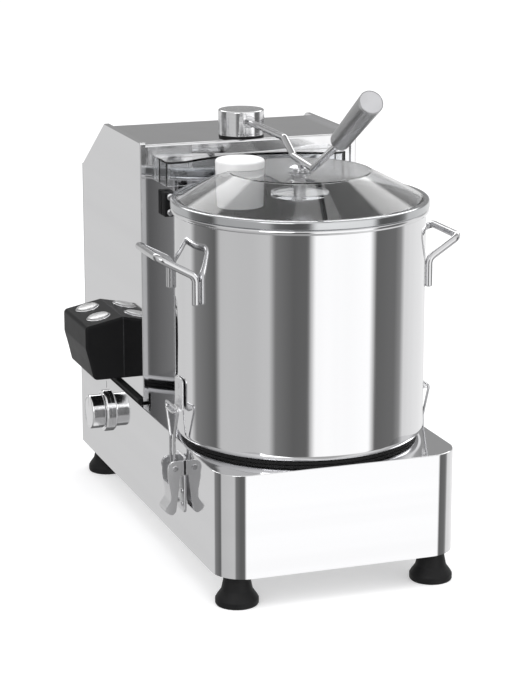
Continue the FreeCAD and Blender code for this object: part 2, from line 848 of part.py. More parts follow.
def post_bush():
    """Flanged bush in the column's top that the post turns in."""
    inner = post_radius + running_gap
    outer = post_radius + bush_wall
    low = plate_z - bush_depth
    return turned(0, post_y, (inner, low), (outer, low), (outer, plate_z - sheet - 4), (outer + 7, plate_z - sheet - 4),
                  (outer + 7, plate_z - sheet), (outer, plate_z - sheet), (outer, plate_z), (inner, plate_z))


def post_ring():
    top = plate_z + post_ring_height
    return turned(0, post_y, (post_radius + 1, plate_z), (post_ring_radius, plate_z), (post_ring_radius, top),
                  (post_radius + 1, top))


def post_cap():
    """Polished cap that carries the arm."""
    low = plate_z + post_ring_height + fit_gap
    cap = drum(cap_radius, point(0, post_y, low), up, cap_height)
    rims = [edge for edge in cap.Edges if edge.Closed and edge.CenterOfMass.z > low + cap_height - 1]
    cap = cap.makeFillet(1.6, rims)
    socket = drum(arm_rod, point(0, post_y - cap_radius - 1, arm_z), back, cap_radius - 7)
    return cap.cut(socket)


def arm_points():
    """Middle line of the arm, from inside the cap to inside the grip."""
    knee_z = arm_knee_height()
    grip_start = point(0, post_y - arm_grip_reach, knee_z + arm_lift)
    return [point(0, post_y - cap_radius + 8, arm_z), point(0, post_y - arm_first_reach, arm_z),
            point(0, post_y - arm_drop_reach, arm_z - arm_fall), point(0, post_y - arm_knee_reach, knee_z), grip_start]


def grip_axis():
    return point(0, -math.cos(grip_tilt), math.sin(grip_tilt))


def arm_bar():
    """Bent bar from the cap, down over the lid and up into the grip."""
    points = arm_points()
    grip_start = points.pop()
    points.append(grip_start - grip_axis() * (2 * arm_rod))
    points.append(grip_start + grip_axis() * (grip_length * 0.6))
    bar = bent_rod(points, 2 * arm_rod, arm_rod)
    collar = drum(arm_rod + 2.2, point(0, post_y - cap_radius - 3, arm_z), back, 3.6)
    collar = collar.cut(drum(cap_radius, point(0, post_y, arm_z - 20), up, 40))
    return bar.fuse(collar).removeSplitter()


def arm_grip():
    """Tapered grip, slimmer where the bar enters it."""
    start = arm_points()[-1]
    n = grip_neck
    w = grip_radius
    length = grip_length
    place = lambda r, s: point(r, 0, s)
    e = grip_edge
    k = e * (1 - math.sqrt(0.5))
    section = Part.Face(chain(place, (0, 0), (n - 4.5, 0), (n - 1.2, 1.6, n, 6), (w, length - e),
                              (w - k, length - k, w - e, length), (0, length)))
    grip = upright(section.revolve(point(0, 0, 0), up, 360))
    grip = grip.cut(drum(arm_rod, point(0, 0, -1), up, length * 0.6 + 1))
    grip.Placement = FreeCAD.Placement(start, FreeCAD.Rotation(up, grip_axis()))
    return grip


def lid_guard():
    """Clear open-backed guard across the column, hollowed to follow the lid."""
    low = rim_z + guard_above_rim
    top = low + guard_height
    front = panel_y - guard_depth
    body = block((-guard_half, front, low), (guard_half, panel_y, top))
    body = body.cut(drum(guard_round, point(0, bowl_y, low - 1), up, guard_height + 2))
    w = guard_wall
    inner = block((-guard_half + w, front + w, low - 1), (guard_half - w, panel_y + 1, top - w))
    inner = inner.cut(drum(guard_round + w, point(0, bowl_y, low - 2), up, guard_height + 4))
    return body.cut(inner)


def lid_switch():
    """Black switch block on the column front, behind the rim of the lid."""
    x = -switch_side
    top = rim_z - switch_drop
    body = block((x - switch_width / 2, panel_y - switch_depth, top - switch_height),
                 (x + switch_width / 2, panel_y, top))
    uprights = [edge for edge in body.Edges if abs(edge.tangentAt(0).z) > 0.9 and edge.CenterOfMass.y < panel_y - 1]
    body = body.makeFillet(1.5, uprights)
    for z in switch_screw_heights():
        body = body.cut(drum(cover_screw, point(x, panel_y - switch_depth - 1, z), back, switch_depth + 2))
    return body


def switch_screw_heights():
    top = rim_z - switch_drop
    return (top - switch_screw_inset, top - switch_height + switch_screw_inset)


def box_outline(inset):
    """Outline of the control box in the XZ plane, drawn in by an inset."""
    wall = -half_column
    outer = wall - box_depth
    slope = math.atan2(box_top_fall, box_depth)
    top_drop = inset / math.cos(slope)
    outer_top = box_top_z - box_top_fall - top_drop + inset * math.tan(slope)
    return [(wall, box_z + inset), (outer + box_under + inset, box_z + inset),
            (outer + box_under * 0.5 + inset, box_z + box_height * 0.28), (outer + inset, box_z + box_height * 0.52),
            (outer + inset, outer_top), (wall, box_top_z - top_drop)]


def box_tilt():
    return math.atan2(box_top_fall, box_depth)


def box_normal():
    """Outward normal of the box's sloping top."""
    return point(-math.sin(box_tilt()), 0, math.cos(box_tilt()))


def button_seat(y):
    """Middle of a button on the box's top."""
    x = -half_column - box_depth / 2
    return point(x, y, box_top_z - box_top_fall / 2)


def button_places():
    return [box_mid_y - button_spacing / 2, box_mid_y + button_spacing / 2]


def control_box():
    """Moulded box on the side of the column, open towards the side tray."""
    outer = cross_bar(box_front_y, box_length, *box_outline(0))
    keep = [edge for edge in outer.Edges if edge.CenterOfMass.x < -half_column - 1]
    outer = outer.makeFillet(2.0, keep)
    inner = cross_bar(box_front_y + box_wall, box_length - 2 * box_wall, *box_outline(box_wall))
    box = outer.cut(inner)
    normal = box_normal()
    reach = 3 * box_wall
    for y in button_places():
        box = box.cut(drum(button_radius + fit_gap, button_seat(y) - normal * reach, normal, 2 * reach))
    return box


def button_bezels():
    normal = box_normal()
    rings = []
    for y in button_places():
        seat = button_seat(y)
        ring = drum(bezel_radius, seat, normal, bezel_height)
        rings.append(ring.cut(drum(button_radius + fit_gap, seat - normal, normal, bezel_height + 2)))
    return Part.makeCompound(rings)


def push_button(y):
    """Push button with a spherical top, and its stem."""
    skirt = -(button_travel + button_skirt)
    flat = button_radius - button_edge
    dome = (flat ** 2 + button_dome ** 2) / (2 * button_dome)
    half = math.asin(flat / dome) / 2
    crown = button_rise + button_dome
    cap = turned(0, 0, (0, skirt), (button_radius, skirt), (button_radius, button_rise - button_edge),
                 (button_radius - 0.3, button_rise - 0.3, flat, button_rise),
                 (dome * math.sin(half), crown - dome * (1 - math.cos(half)), 0, crown))
    stem = drum(button_stem, point(0, 0, skirt - button_stem_length), up, button_stem_length + slip)
    button = cap.fuse(stem).removeSplitter()
    button.Placement = FreeCAD.Placement(button_seat(y), FreeCAD.Rotation(up, box_normal()))
    return button


def contact_blocks():
    """Switch blocks under the two buttons, held by the box wall and the tray."""
    normal = box_normal()
    half = contact_block / 2
    blocks = []
    for y in button_places():
        seat = button_seat(y)
        level = seat.z - contact_drop
        body = block((-half_column - box_depth / 2 - half, y - half, level - contact_height),
                     (-half_column, y + half, level))
        well = drum(button_stem + fit_gap, seat - normal * contact_well, normal, contact_well)
        blocks.append(body.cut(well))
    return Part.makeCompound(blocks)


def selector_ring():
    start = point(-half_base - selector_ring_height, selector_y, selector_z)
    ring = drum(selector_ring_radius, start, across, selector_ring_height)
    rims = [edge for edge in ring.Edges if edge.Closed and edge.CenterOfMass.x < start.x + 0.5]
    ring = ring.makeFillet(1.5, rims)
    return ring.cut(drum(selector_shaft + slip, start - across, across, selector_ring_height + 2))


def selector_knob():
    """Turned speed knob with a bevelled end and a fine pointer groove."""
    inner = -half_base - selector_ring_height - fit_gap
    start = point(inner - selector_length, selector_y, selector_z)
    knob = drum(selector_radius, start, across, selector_length)
    rims = [edge for edge in knob.Edges if edge.Closed and edge.CenterOfMass.x < start.x + 0.5]
    knob = knob.makeFillet(1.8, rims)
    pointer = block((start.x - 1, selector_y - 0.8, selector_z + selector_radius * 0.35),
                    (start.x + 1.0, selector_y + 0.8, selector_z + selector_radius + 1))
    bore = drum(selector_shaft, point(inner - selector_length + 8, selector_y, selector_z), across, selector_length)
    return knob.cut(pointer).cut(bore)


def selector_spindle():
    inner = -half_base - selector_ring_height - fit_gap
    start = point(inner - selector_length + 8, selector_y, selector_z)
    end = -half_base + sheet + selector_body_depth * 0.5
    return drum(selector_shaft, start, across, end - start.x)


def selector_switch():
    """Rotary switch body behind the side wall."""
    x = -half_base + sheet
    body = block((x, selector_y - selector_body, selector_z - selector_body),
                 (x + selector_body_depth, selector_y + selector_body, selector_z + selector_body))
    return body.cut(drum(selector_shaft + slip, point(x - 1, selector_y, selector_z), across,
                         selector_body_depth * 0.5 + 1 + fit_gap))


def bearing_housing():
    """Flanged sleeve through the deck that holds both spindle bearings."""
    outer = bearing_radius + housing_wall
    low = deck_z - housing_depth
    top = deck_z + housing_flange_height
    lip = spindle + 4
    seat = bearing_width
    return turned(0, bowl_y, (bearing_radius, low), (outer, low), (outer, deck_z), (housing_flange, deck_z),
                  (housing_flange, top), (lip, top), (lip, top - 4), (bearing_radius, top - 4),
                  (bearing_radius, top - 4 - seat), (bearing_radius - 3, top - 4 - seat),
                  (bearing_radius - 3, low + seat), (bearing_radius, low + seat))


def spindle_bearings():
    low = deck_z - housing_depth
    top = deck_z + housing_flange_height - 4
    rings = []
    for z in (low, top - bearing_width):
        rings.append(turned(0, bowl_y, (spindle + running_gap, z), (bearing_radius, z),
                            (bearing_radius, z + bearing_width), (spindle + running_gap, z + bearing_width)))
    return Part.makeCompound(rings)


def spindle_shaft():
    """Spindle with a hexagonal drive end for the blade hub."""
    low = belt_z - pulley_width / 2 - 3
    shoulder = spindle_top - spindle_drive_length
    shaft = drum(spindle, point(0, bowl_y, low), up, shoulder - low)
    drive = hexagon(spindle_drive, point(0, bowl_y, shoulder - 1), up, spindle_drive_length + 1)
    return shaft.fuse(drive).removeSplitter()


def grooved_pulley(x, y, radius, bore):
    """Pulley with one trapezoid groove for the belt."""
    half = pulley_width / 2
    flank = belt_width / 2
    deep = radius - belt_thickness - 1
    return turned(x, y, (bore, belt_z - half), (radius, belt_z - half), (radius, belt_z - flank - 0.6),
                  (deep, belt_z - flank + 2.0), (deep, belt_z + flank - 2.0), (radius, belt_z + flank + 0.6),
                  (radius, belt_z + half), (bore, belt_z + half))


def belt_loop(radius_a, radius_b, z, height):
    """Loop round both pulleys, filled, from two circles and their outer tangents."""
    span = motor_y - bowl_y
    lean = math.asin((radius_a - radius_b) / span)
    c = math.cos(lean)
    s = math.sin(lean)
    return raised(z, height, (radius_a * c, bowl_y + radius_a * s), (radius_b * c, motor_y + radius_b * s),
                  (0, motor_y + radius_b, -radius_b * c, motor_y + radius_b * s),
                  (-radius_a * c, bowl_y + radius_a * s),
                  (0, bowl_y - radius_a, radius_a * c, bowl_y + radius_a * s))


def drive_belt():
    """Belt from the motor pulley to the spindle pulley, clear of the groove floors."""
    low = belt_z - belt_width / 2 + 2.3
    height = belt_width - 4.6
    outer = belt_loop(spindle_pulley - 1, motor_pulley - 1, low, height)
    inner = belt_loop(spindle_pulley - belt_thickness - 0.7, motor_pulley - belt_thickness - 0.7, low - 1, height + 2)
    return outer.cut(inner)


def motor_mount():
    """Plate over the deck's opening that the motor stands on."""
    z = deck_z
    plate = block((-mount_half_width, panel_y + sheet + slip, z), (mount_half_width, tray_back - mount_overlap, z + mount_plate))
    return plate.cut(drum(motor_shaft + 6, point(0, motor_y, z - 1), up, mount_plate + 2))


def motor_body():
    """Motor with end shields and lengthwise fins, its shaft pointing down."""
    z = deck_z + mount_plate
    top = z + motor_length
    r = motor_radius
    shield = motor_shield
    core = r - motor_fin
    hole = motor_shaft + 1.5
    body = turned(0, motor_y, (hole, z), (r, z), (r, z + shield), (core, z + shield),
                  (core, top - shield), (r - 2, top - shield), (r - 2, top), (hole, top))
    fins = []
    for k in range(motor_fin_count):
        fin = block((core - 1, motor_y - 1.2, z + shield - 0.5), (r - 0.5, motor_y + 1.2, top - shield + 0.5))
        fin.rotate(point(0, motor_y, 0), up, 360 * k / motor_fin_count)
        fins.append(fin)
    return body.fuse(fins).removeSplitter()


def motor_fan_cover():
    z = deck_z + mount_plate + motor_length
    r = motor_radius - 2
    top = z + fan_cover_height
    cover = turned(0, motor_y, (r - 2, z), (r, z), (r, top - 6), (r - 1.8, top - 1.8, r - 6, top), (0, top),
                   (0, top - 2), (r - 6, top - 2), (r - 3.4, top - 3.4, r - 2, top - 6))
    cuts = [block((-r * 0.6, motor_y + (k - 2) * 16 - 3, top - 4), (r * 0.6, motor_y + (k - 2) * 16 + 3, top + 1))
            for k in range(5)]
    return cover.cut(Part.makeCompound(cuts))


def motor_rotor():
    """Motor shaft with its cooling fan."""
    low = belt_z - pulley_width / 2 - 3
    top = deck_z + mount_plate + motor_length
    shaft = drum(motor_shaft, point(0, motor_y, low), up, top + 22 - low)
    hub = drum(motor_shaft + 7, point(0, motor_y, top + 4), up, 16)
    fan = shaft.fuse(hub)
    for k in range(6):
        blade = block((0, motor_y - 1, top + 5), (motor_radius - 10, motor_y + 1, top + 19))
        blade.rotate(point(0, motor_y, 0), up, 60 * k)
        fan = fan.fuse(blade)
    return fan.removeSplitter()


def run_capacitor():
    x = mount_half_width - capacitor_radius - 4
    y = tray_back - mount_overlap - capacitor_radius - 6
    can = drum(capacitor_radius, point(x, y, deck_z + mount_plate), up, capacitor_length)
    return can.makeFillet(2.0, [edge for edge in can.Edges if edge.Closed])


def blade_hub():
    """Sleeve over the chimney with a fluted lifting knob on top."""
    low = bowl_z + bowl_wall + 2.0
    top = spindle_top + hub_shoulder
    inner = hub_radius - hub_wall
    seat = spindle_top
    ceiling = chimney_z + 2.0
    hub = turned(0, bowl_y, (inner, low), (hub_radius, low), (hub_radius, low + hub_straight), (hub_top_radius, top - hub_shoulder),
                 (hub_top_radius - 1.5, top - 1.5, hub_top_radius - 6, top), (hub_knob - 3, top),
                 (hub_knob, top + 6), (hub_knob, top + hub_knob_height - 3),
                 (hub_knob - 1, top + hub_knob_height - 1, hub_knob - 3, top + hub_knob_height),
                 (0, top + hub_knob_height), (0, ceiling), (inner, ceiling))
    socket = hexagon(spindle_drive + running_gap, point(0, bowl_y, ceiling - 1), up, seat - ceiling + 1)
    cuts = [socket]
    for k in range(hub_flutes):
        turn = 2 * math.pi * k / hub_flutes
        r = hub_knob + flute_offset
        foot = point(r * math.cos(turn), bowl_y + r * math.sin(turn), top + hub_shoulder)
        cuts.append(drum(flute_radius, foot, up, hub_knob_height))
    return hub.cut(Part.makeCompound(cuts))


def blade(rise, turn):
    """Sickle blade with a ground edge, rooted on the hub."""
    z = bowl_z + bowl_wall + rise
    t = blade_thickness
    reach = blade_reach
    root = blade_root / 2
    start_x = math.sqrt(hub_radius ** 2 - root ** 2)
    outline = [(start_x, -root), (reach * 0.62, -blade_bow, reach, 8.0), (reach * 0.56, -blade_bow * 0.2, start_x, root)]
    flat = raised(z, t, *outline)
    flat.translate(point(0, bowl_y, 0))
    edge_lines = [edge for edge in flat.Edges if edge.CenterOfMass.z > z + t - 0.01 and edge.Length > reach / 2
                  and edge.CenterOfMass.y < bowl_y - blade_bow * 0.4]
    flat = flat.makeChamfer(bevel, edge_lines)
    collar = drum(hub_radius + 6, point(0, bowl_y, z), up, t)
    solid = flat.fuse(collar).removeSplitter()
    solid = solid.cut(drum(hub_radius, point(0, bowl_y, z - 1), up, t + 2))
    solid.rotate(point(0, bowl_y, 0), up, turn)
    return solid


def make_parts():
    first_button, second_button = button_places()
    parts = {
        "base_housing": base_housing(),
        "base_floor": base_floor(),
        "feet": feet(),
        "foot_fasteners": foot_fasteners(),
        "column_cover": column_cover(),
        "column_gaskets": column_gaskets(),
        "rear_cover": rear_cover(),
        "panel_screws": panel_screws(),
        "cable_gland": cable_gland(),
        "bowl": bowl(),
        "bowl_seat_ring": bowl_seat_ring(),
        "bowl_catches": bowl_catches(),
        "latch_plates": latch_plates(),
        "latch_pins": latch_pins(),
        "lid_shell": lid_shell(),
        "lid_rim_ring": lid_rim_ring(),
        "lid_knob": lid_knob(),
        "lid_knob_bolt": knob_bolt_piece(),
        "lid_disc": lid_disc(),
        "feed_plug": feed_plug(),
        "post_shaft": post_shaft(),
        "post_circlip": post_circlip(),
        "post_bush": post_bush(),
        "post_ring": post_ring(),
        "post_cap": post_cap(),
        "arm_bar": arm_bar(),
        "arm_grip": arm_grip(),
        "lid_guard": lid_guard(),
        "lid_switch": lid_switch(),
        "control_box": control_box(),
        "button_bezels": button_bezels(),
        "stop_button": push_button(first_button),
        "start_button": push_button(second_button),
        "contact_blocks": contact_blocks(),
        "selector_ring": selector_ring(),
        "selector_knob": selector_knob(),
        "selector_spindle": selector_spindle(),
        "selector_switch": selector_switch(),
        "bearing_housing": bearing_housing(),
        "spindle_bearings": spindle_bearings(),
        "spindle_shaft": spindle_shaft(),
        "spindle_pulley": grooved_pulley(0, bowl_y, spindle_pulley, spindle),
        "motor_pulley": grooved_pulley(0, motor_y, motor_pulley, motor_shaft),
        "drive_belt": drive_belt(),
        "motor_mount": motor_mount(),
        "motor_body": motor_body(),
        "motor_fan_cover": motor_fan_cover(),
        "motor_rotor": motor_rotor(),
        "run_capacitor": run_capacitor(),
        "blade_hub": blade_hub(),
        "lower_blade": blade(lower_blade_rise, 0),
        "upper_blade": blade(upper_blade_rise, 180),
    }
    for side, word in ((-1, "left"), (1, "right")):
        parts["column_side_" + word] = column_side(side)
        parts["bowl_handle_" + word] = bowl_handle(side)
        parts["latch_lever_" + word] = latch_lever(side)
        parts["latch_bail_" + word] = latch_bail(side)
    return parts


os.makedirs("parts", exist_ok=True)
for name, shape in make_parts().items():
    shape.exportStep("parts/" + name + ".step")
    box = shape.BoundBox
    print(f"{name:22s} solids {len(shape.Solids)} valid {shape.isValid()} volume {shape.Volume:12.1f} "
          f"x {box.XMin:8.2f} {box.XMax:8.2f} y {box.YMin:8.2f} {box.YMax:8.2f} z {box.ZMin:8.2f} {box.ZMax:8.2f}")
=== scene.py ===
"""Looks of a bench bowl cutter: polished casing and bowl, latches, clear lid, swing arm and controls."""
import logging
import math
from dataclasses import dataclass, field
from enum import Enum
from typing import Callable, Iterable, Sequence

import bmesh
import bpy
from mathutils import Matrix, Vector


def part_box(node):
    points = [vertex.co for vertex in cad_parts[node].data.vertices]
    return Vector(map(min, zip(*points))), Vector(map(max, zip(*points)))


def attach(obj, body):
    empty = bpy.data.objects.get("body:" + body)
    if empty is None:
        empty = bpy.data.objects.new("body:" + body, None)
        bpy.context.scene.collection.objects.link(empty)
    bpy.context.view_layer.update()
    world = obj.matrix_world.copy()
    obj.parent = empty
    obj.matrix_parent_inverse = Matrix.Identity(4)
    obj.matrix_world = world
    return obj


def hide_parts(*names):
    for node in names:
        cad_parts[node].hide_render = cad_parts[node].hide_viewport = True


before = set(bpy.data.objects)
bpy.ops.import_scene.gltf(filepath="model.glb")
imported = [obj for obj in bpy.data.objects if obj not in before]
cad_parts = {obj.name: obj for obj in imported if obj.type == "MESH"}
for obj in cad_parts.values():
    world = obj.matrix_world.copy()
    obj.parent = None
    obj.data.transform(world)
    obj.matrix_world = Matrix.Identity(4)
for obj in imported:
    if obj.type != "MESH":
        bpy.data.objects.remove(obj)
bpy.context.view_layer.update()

MM = 0.001
MACHINE = "machine"
ON_AXIS = 1e-6
Corner = tuple[float, ...]
Outline = list[tuple[float, float]]
Colour = tuple[float, float, float]
Stop = tuple[float, float]
Wiring = dict[str, object]
log = logging.getLogger("bowl_cutter")


@dataclass(frozen=True)
class Places:
    """Heights and depths that the sub-assemblies share, in millimetres in the part's frame."""

    front_y: float = -239.29
    tray_back: float = 286.21
    back_y: float = 287.71
    base_z: float = 33.0
    deck_z: float = 143.0
    half_base: float = 132.0
    half_column: float = 125.8
    column_y: float = 49.01
    panel_y: float = 52.01
    column_top_back: float = 191.51
    column_z: float = 434.8
    plate_z: float = 431.8
    shoulder_z: float = 373.9
    bowl_y: float = -106.59
    bowl_z: float = 148.5
    rim_z: float = 388.0
    lid_edge_z: float = 396.5
    lid_top_z: float = 424.5
    post_y: float = 77.71
    arm_z: float = 451.0
    switch_x: float = -95.0


AT = Places()


class Side(Enum):
    """Side of the machine, as the sign of X."""

    LEFT = -1
    RIGHT = 1

    @property
    def word(self) -> str:
        """The side's name in node and body names."""
        return self.name.lower()


class Plane(Enum):
    """Plane in which a flat outline is drawn, named by its two axes."""

    PLAN = "xy"
    FRONT = "xz"
    SIDE = "yz"

    def lift(self, a: float, b: float, at: float) -> Vector:
        """Point of the plane with in-plane coordinates a and b, at a distance along its normal."""
        return {"xy": Vector((a, b, at)), "xz": Vector((a, at, b)), "yz": Vector((at, a, b))}[self.value]

    @property
    def normal(self) -> Vector:
        """Positive axis across the plane."""
        return {"xy": Vector((0, 0, 1)), "xz": Vector((0, 1, 0)), "yz": Vector((1, 0, 0))}[self.value]


def rounded(corners: Sequence[Corner], smooth: int = 6) -> Outline:
    """Rounds the corners of a flat outline.

    Args:
        corners: Points; a third number is the corner's radius. The ends of an open outline have none.
        smooth: Steps in a quarter turn.

    Returns:
        The outline's points in order.
    """
    points: Outline = []
    count = len(corners)
    for k, corner in enumerate(corners):
        here = Vector(corner[:2])
        radius = corner[2] if len(corner) > 2 else 0.0
        if radius <= 0:
            points.append((here.x, here.y))
            continue
        before = (Vector(corners[k - 1][:2]) - here).normalized()
        after = (Vector(corners[(k + 1) % count][:2]) - here).normalized()
        half = before.angle(after) / 2
        centre = here + (before + after).normalized() * (radius / math.sin(half))
        reach = radius / math.tan(half)
        start = here + before * reach - centre
        end = here + after * reach - centre
        turn = math.copysign(math.pi - 2 * half, start.cross(end))
        steps = max(2, math.ceil(abs(turn) / (math.pi / 2) * smooth))
        for n in range(steps + 1):
            spoke = start.copy()
            spoke.rotate(Matrix.Rotation(turn * n / steps, 2))
            points.append(tuple(centre + spoke))
    return points


def only(kind: type, items: Iterable[object]) -> list:
    """The items of one kind, out of what a mesh operation gives back."""
    return [item for item in items if isinstance(item, kind)]


def aimed(place: Corner, way: Corner) -> Matrix:
    """Matrix that stands upright things at a place along a direction."""
    return Matrix.Translation(place) @ Vector(way).to_track_quat("Z", "Y").to_matrix().to_4x4()


def arc(centre: tuple[float, float], radius: float, start: float, end: float, steps: int = 12) -> Outline:
    """Points of an arc between two angles in degrees.

    Args:
        centre: Middle of the circle.
        radius: Its radius.
        start: First angle.
        end: Last angle.
        steps: Number of chords.

    Returns:
        The arc's points with both ends.
    """
    angles = [math.radians(start + (end - start) * n / steps) for n in range(steps + 1)]
    return [(centre[0] + radius * math.cos(a), centre[1] + radius * math.sin(a)) for a in angles]


def thickened(path: Sequence[Corner], thickness: float) -> list[Corner]:
    """Closed outline of a bent sheet.

    Args:
        path: Corners of one face of the sheet, each with its bend radius on that face or none.
        thickness: Sheet thickness, laid off to the left of the path.

    Returns:
        Corners of the section, with the inner or outer radius at each bend.
    """
    inner: list[Corner] = []
    for k, corner in enumerate(path):
        here = Vector(corner[:2])
        ways = []
        if k > 0:
            ways.append((here - Vector(path[k - 1][:2])).normalized())
        if k < len(path) - 1:
            ways.append((Vector(path[k + 1][:2]) - here).normalized())
        lefts = [Vector((-w.y, w.x)) for w in ways]
        middle = sum(lefts, Vector((0, 0))).normalized()
        moved = here + middle * (thickness / middle.dot(lefts[0]))
        radius = corner[2] if len(corner) > 2 else 0.0
        if radius and len(ways) == 2:
            left_turn = ways[0].cross(ways[1]) > 0
            radius = max(radius - thickness, 0.3) if left_turn else radius + thickness
        inner.append((moved.x, moved.y, radius))
    return list(path) + inner[::-1]


class Form:
    """A mesh in the making, in millimetres in the part's frame."""

    def __init__(self) -> None:
        """Starts with an empty mesh."""
        self.bm = bmesh.new()

    @property
    def verts(self) -> list[bmesh.types.BMVert]:
        """All vertices."""
        return list(self.bm.verts)

    @property
    def edges(self) -> list[bmesh.types.BMEdge]:
        """All edges."""
        return list(self.bm.edges)

    @property
    def faces(self) -> list[bmesh.types.BMFace]:
        """All faces."""
        return list(self.bm.faces)

    @classmethod
    def turned(cls, outline: Outline, centre: Corner = (0, 0, 0), axis: Corner = (0, 0, 1),
               steps: int = 96) -> "Form":
        """Spins an outline of radii and heights into a turned piece.

        Args:
            outline: Radius and height pairs; one that starts on the axis ends there, others are rings.
            centre: Foot of the axis.
            axis: Direction of the axis.
            steps: Facets round the axis.

        Returns:
            The turned form.
        """
        form = cls()
        points = [form.bm.verts.new((r, 0, z)) for r, z in outline]
        closing = [(points[-1], points[0])] if outline[0][0] > ON_AXIS else []
        lines = [form.bm.edges.new(pair) for pair in [*zip(points, points[1:]), *closing]]
        bmesh.ops.spin(form.bm, geom=points + lines, cent=(0, 0, 0), axis=(0, 0, 1), dvec=(0, 0, 0),
                       angle=2 * math.pi, steps=steps, use_merge=True)
        form.weld()
        return form.placed(aimed(centre, axis))

    @classmethod
    def prism(cls, outline: Outline, at: float, depth: float, plane: Plane = Plane.PLAN) -> "Form":
        """Extrudes a flat outline.

        Args:
            outline: Points in the plane.
            at: Where the first face lies across the plane.
            depth: Length of the prism.
            plane: Plane of the outline.

        Returns:
            The closed prism.
        """
        form = cls()
        face = form.bm.faces.new([form.bm.verts.new(plane.lift(a, b, at)) for a, b in outline])
        pushed = bmesh.ops.extrude_face_region(form.bm, geom=[face], use_keep_orig=True)["geom"]
        bmesh.ops.translate(form.bm, vec=plane.normal * depth, verts=only(bmesh.types.BMVert, pushed))
        return form.outward()

    @classmethod
    def rod(cls, points: Sequence[Corner], bend: float, radius: float, end_round: float = 0.0,
            sides: int = 24) -> "Form":
        """Sweeps a round rod along straight runs joined by tangent bends.

        Args:
            points: Corners of the rod's middle line.
            bend: Bend radius of the middle line.
            radius: Radius of the rod.
            end_round: Rounding of both cut ends.
            sides: Facets round the rod.

        Returns:
            The closed rod.
        """
        form = cls()
        line = [Vector(p) for p in points]
        start = aimed(line[0], (line[1] - line[0]).normalized())
        ring = bmesh.ops.create_circle(form.bm, segments=sides, radius=radius, cap_ends=False,
                                       matrix=start)["verts"]
        first = list({edge for vert in ring for edge in vert.link_edges})
        lead = first
        here = line[0]
        for before, corner, after in zip(line, line[1:], line[2:]):
            way_in = (corner - before).normalized()
            way_out = (after - corner).normalized()
            angle = way_in.angle(way_out)
            reach = bend * math.tan(angle / 2)
            lead = form.pushed(lead, corner - way_in * reach - here)
            axis = way_in.cross(way_out).normalized()
            centre = corner - way_in * reach + axis.cross(way_in) * bend
            steps = max(3, round(math.degrees(angle) / 9))
            swept = bmesh.ops.spin(form.bm, geom=lead + list({v for e in lead for v in e.verts}), cent=centre,
                                   axis=axis, dvec=(0, 0, 0), angle=angle, steps=steps)
            lead = only(bmesh.types.BMEdge, swept["geom_last"])
            here = corner + way_out * reach
        lead = form.pushed(lead, line[-1] - here)
        caps = bmesh.ops.edgeloop_fill(form.bm, edges=first)["faces"]
        caps += bmesh.ops.edgeloop_fill(form.bm, edges=lead)["faces"]
        if end_round:
            form.bevel([edge for cap in caps for edge in cap.edges], end_round, 4)
        return form.outward()

    def pushed(self, edges: list[bmesh.types.BMEdge], way: Vector) -> list[bmesh.types.BMEdge]:
        """Extrudes a loop of edges along a vector.

        Args:
            edges: The loop.
            way: How far and where to.

        Returns:
            The loop's new edges.
        """
        made = bmesh.ops.extrude_edge_only(self.bm, edges=edges)["geom"]
        bmesh.ops.translate(self.bm, vec=way, verts=only(bmesh.types.BMVert, made))
        return [item for item in only(bmesh.types.BMEdge, made)
                if not any(item is edge for edge in edges) and all(v in set(made) for v in item.verts)]

    def bevel(self, edges: Iterable[bmesh.types.BMEdge], size: float, segments: int = 3) -> "Form":
        """Rounds some edges.

        Args:
            edges: Edges of the form.
            size: Width of the rounding.
            segments: Facets across it.

        Returns:
            The form itself.
        """
        bmesh.ops.bevel(self.bm, geom=list(set(edges)), offset=size, offset_type="OFFSET", affect="EDGES",
                        segments=segments, profile=0.5, clamp_overlap=True, material=-1)
        return self

    def round_where(self, test: Callable[[Vector, Vector], bool], size: float, segments: int = 3,
                    least: float = 0.35) -> "Form":
        """Rounds the sharp edges that pass a test.

        Args:
            test: Takes an edge's middle and its direction.
            size: Width of the rounding.
            segments: Facets across it.
            least: Smallest angle between the faces, in radians.

        Returns:
            The form itself.
        """
        picked = []
        for edge in self.bm.edges:
            middle = (edge.verts[0].co + edge.verts[1].co) / 2
            way = (edge.verts[1].co - edge.verts[0].co).normalized()
            if edge.calc_face_angle(0) > least and test(middle, way):
                picked.append(edge)
        return self.bevel(picked, size, segments)

    def weld(self) -> "Form":
        """Merges doubled points and turns the faces outwards."""
        bmesh.ops.remove_doubles(self.bm, verts=self.verts, dist=1e-3)
        return self.outward()

    def outward(self) -> "Form":
        """Turns every face outwards."""
        bmesh.ops.recalc_face_normals(self.bm, faces=self.faces)
        return self

    def placed(self, matrix: Matrix) -> "Form":
        """Moves or turns the whole form."""
        bmesh.ops.transform(self.bm, matrix=matrix, verts=self.verts)
        return self

    def moved(self, x: float, y: float, z: float) -> "Form":
        """Shifts the whole form."""
        return self.placed(Matrix.Translation((x, y, z)))

    def copied(self) -> "Form":
        """Copies the form.

        Returns:
            A second form with the same mesh.
        """
        twin = Form()
        twin.bm.free()
        twin.bm = self.bm.copy()
        return twin

    def mirrored(self) -> "Form":
        """Copies the form to the other side of the machine.

        Returns:
            The mirrored copy.
        """
        twin = self.copied()
        bmesh.ops.scale(twin.bm, vec=(-1, 1, 1), verts=twin.verts)
        bmesh.ops.reverse_faces(twin.bm, faces=twin.faces)
        return twin

    def on(self, side: Side) -> "Form":
        """The form, drawn on the left, for the given side."""
        return self if side is Side.LEFT else self.mirrored()

    def joined(self, *others: "Form") -> "Form":
        """Adds other forms as loose pieces of the same mesh.

        Args:
            others: Forms to add.

        Returns:
            The form itself.
        """
        for other in others:
            store = bpy.data.meshes.new("store")
            other.bm.to_mesh(store)
            self.bm.from_mesh(store)
            bpy.data.meshes.remove(store)
        return self

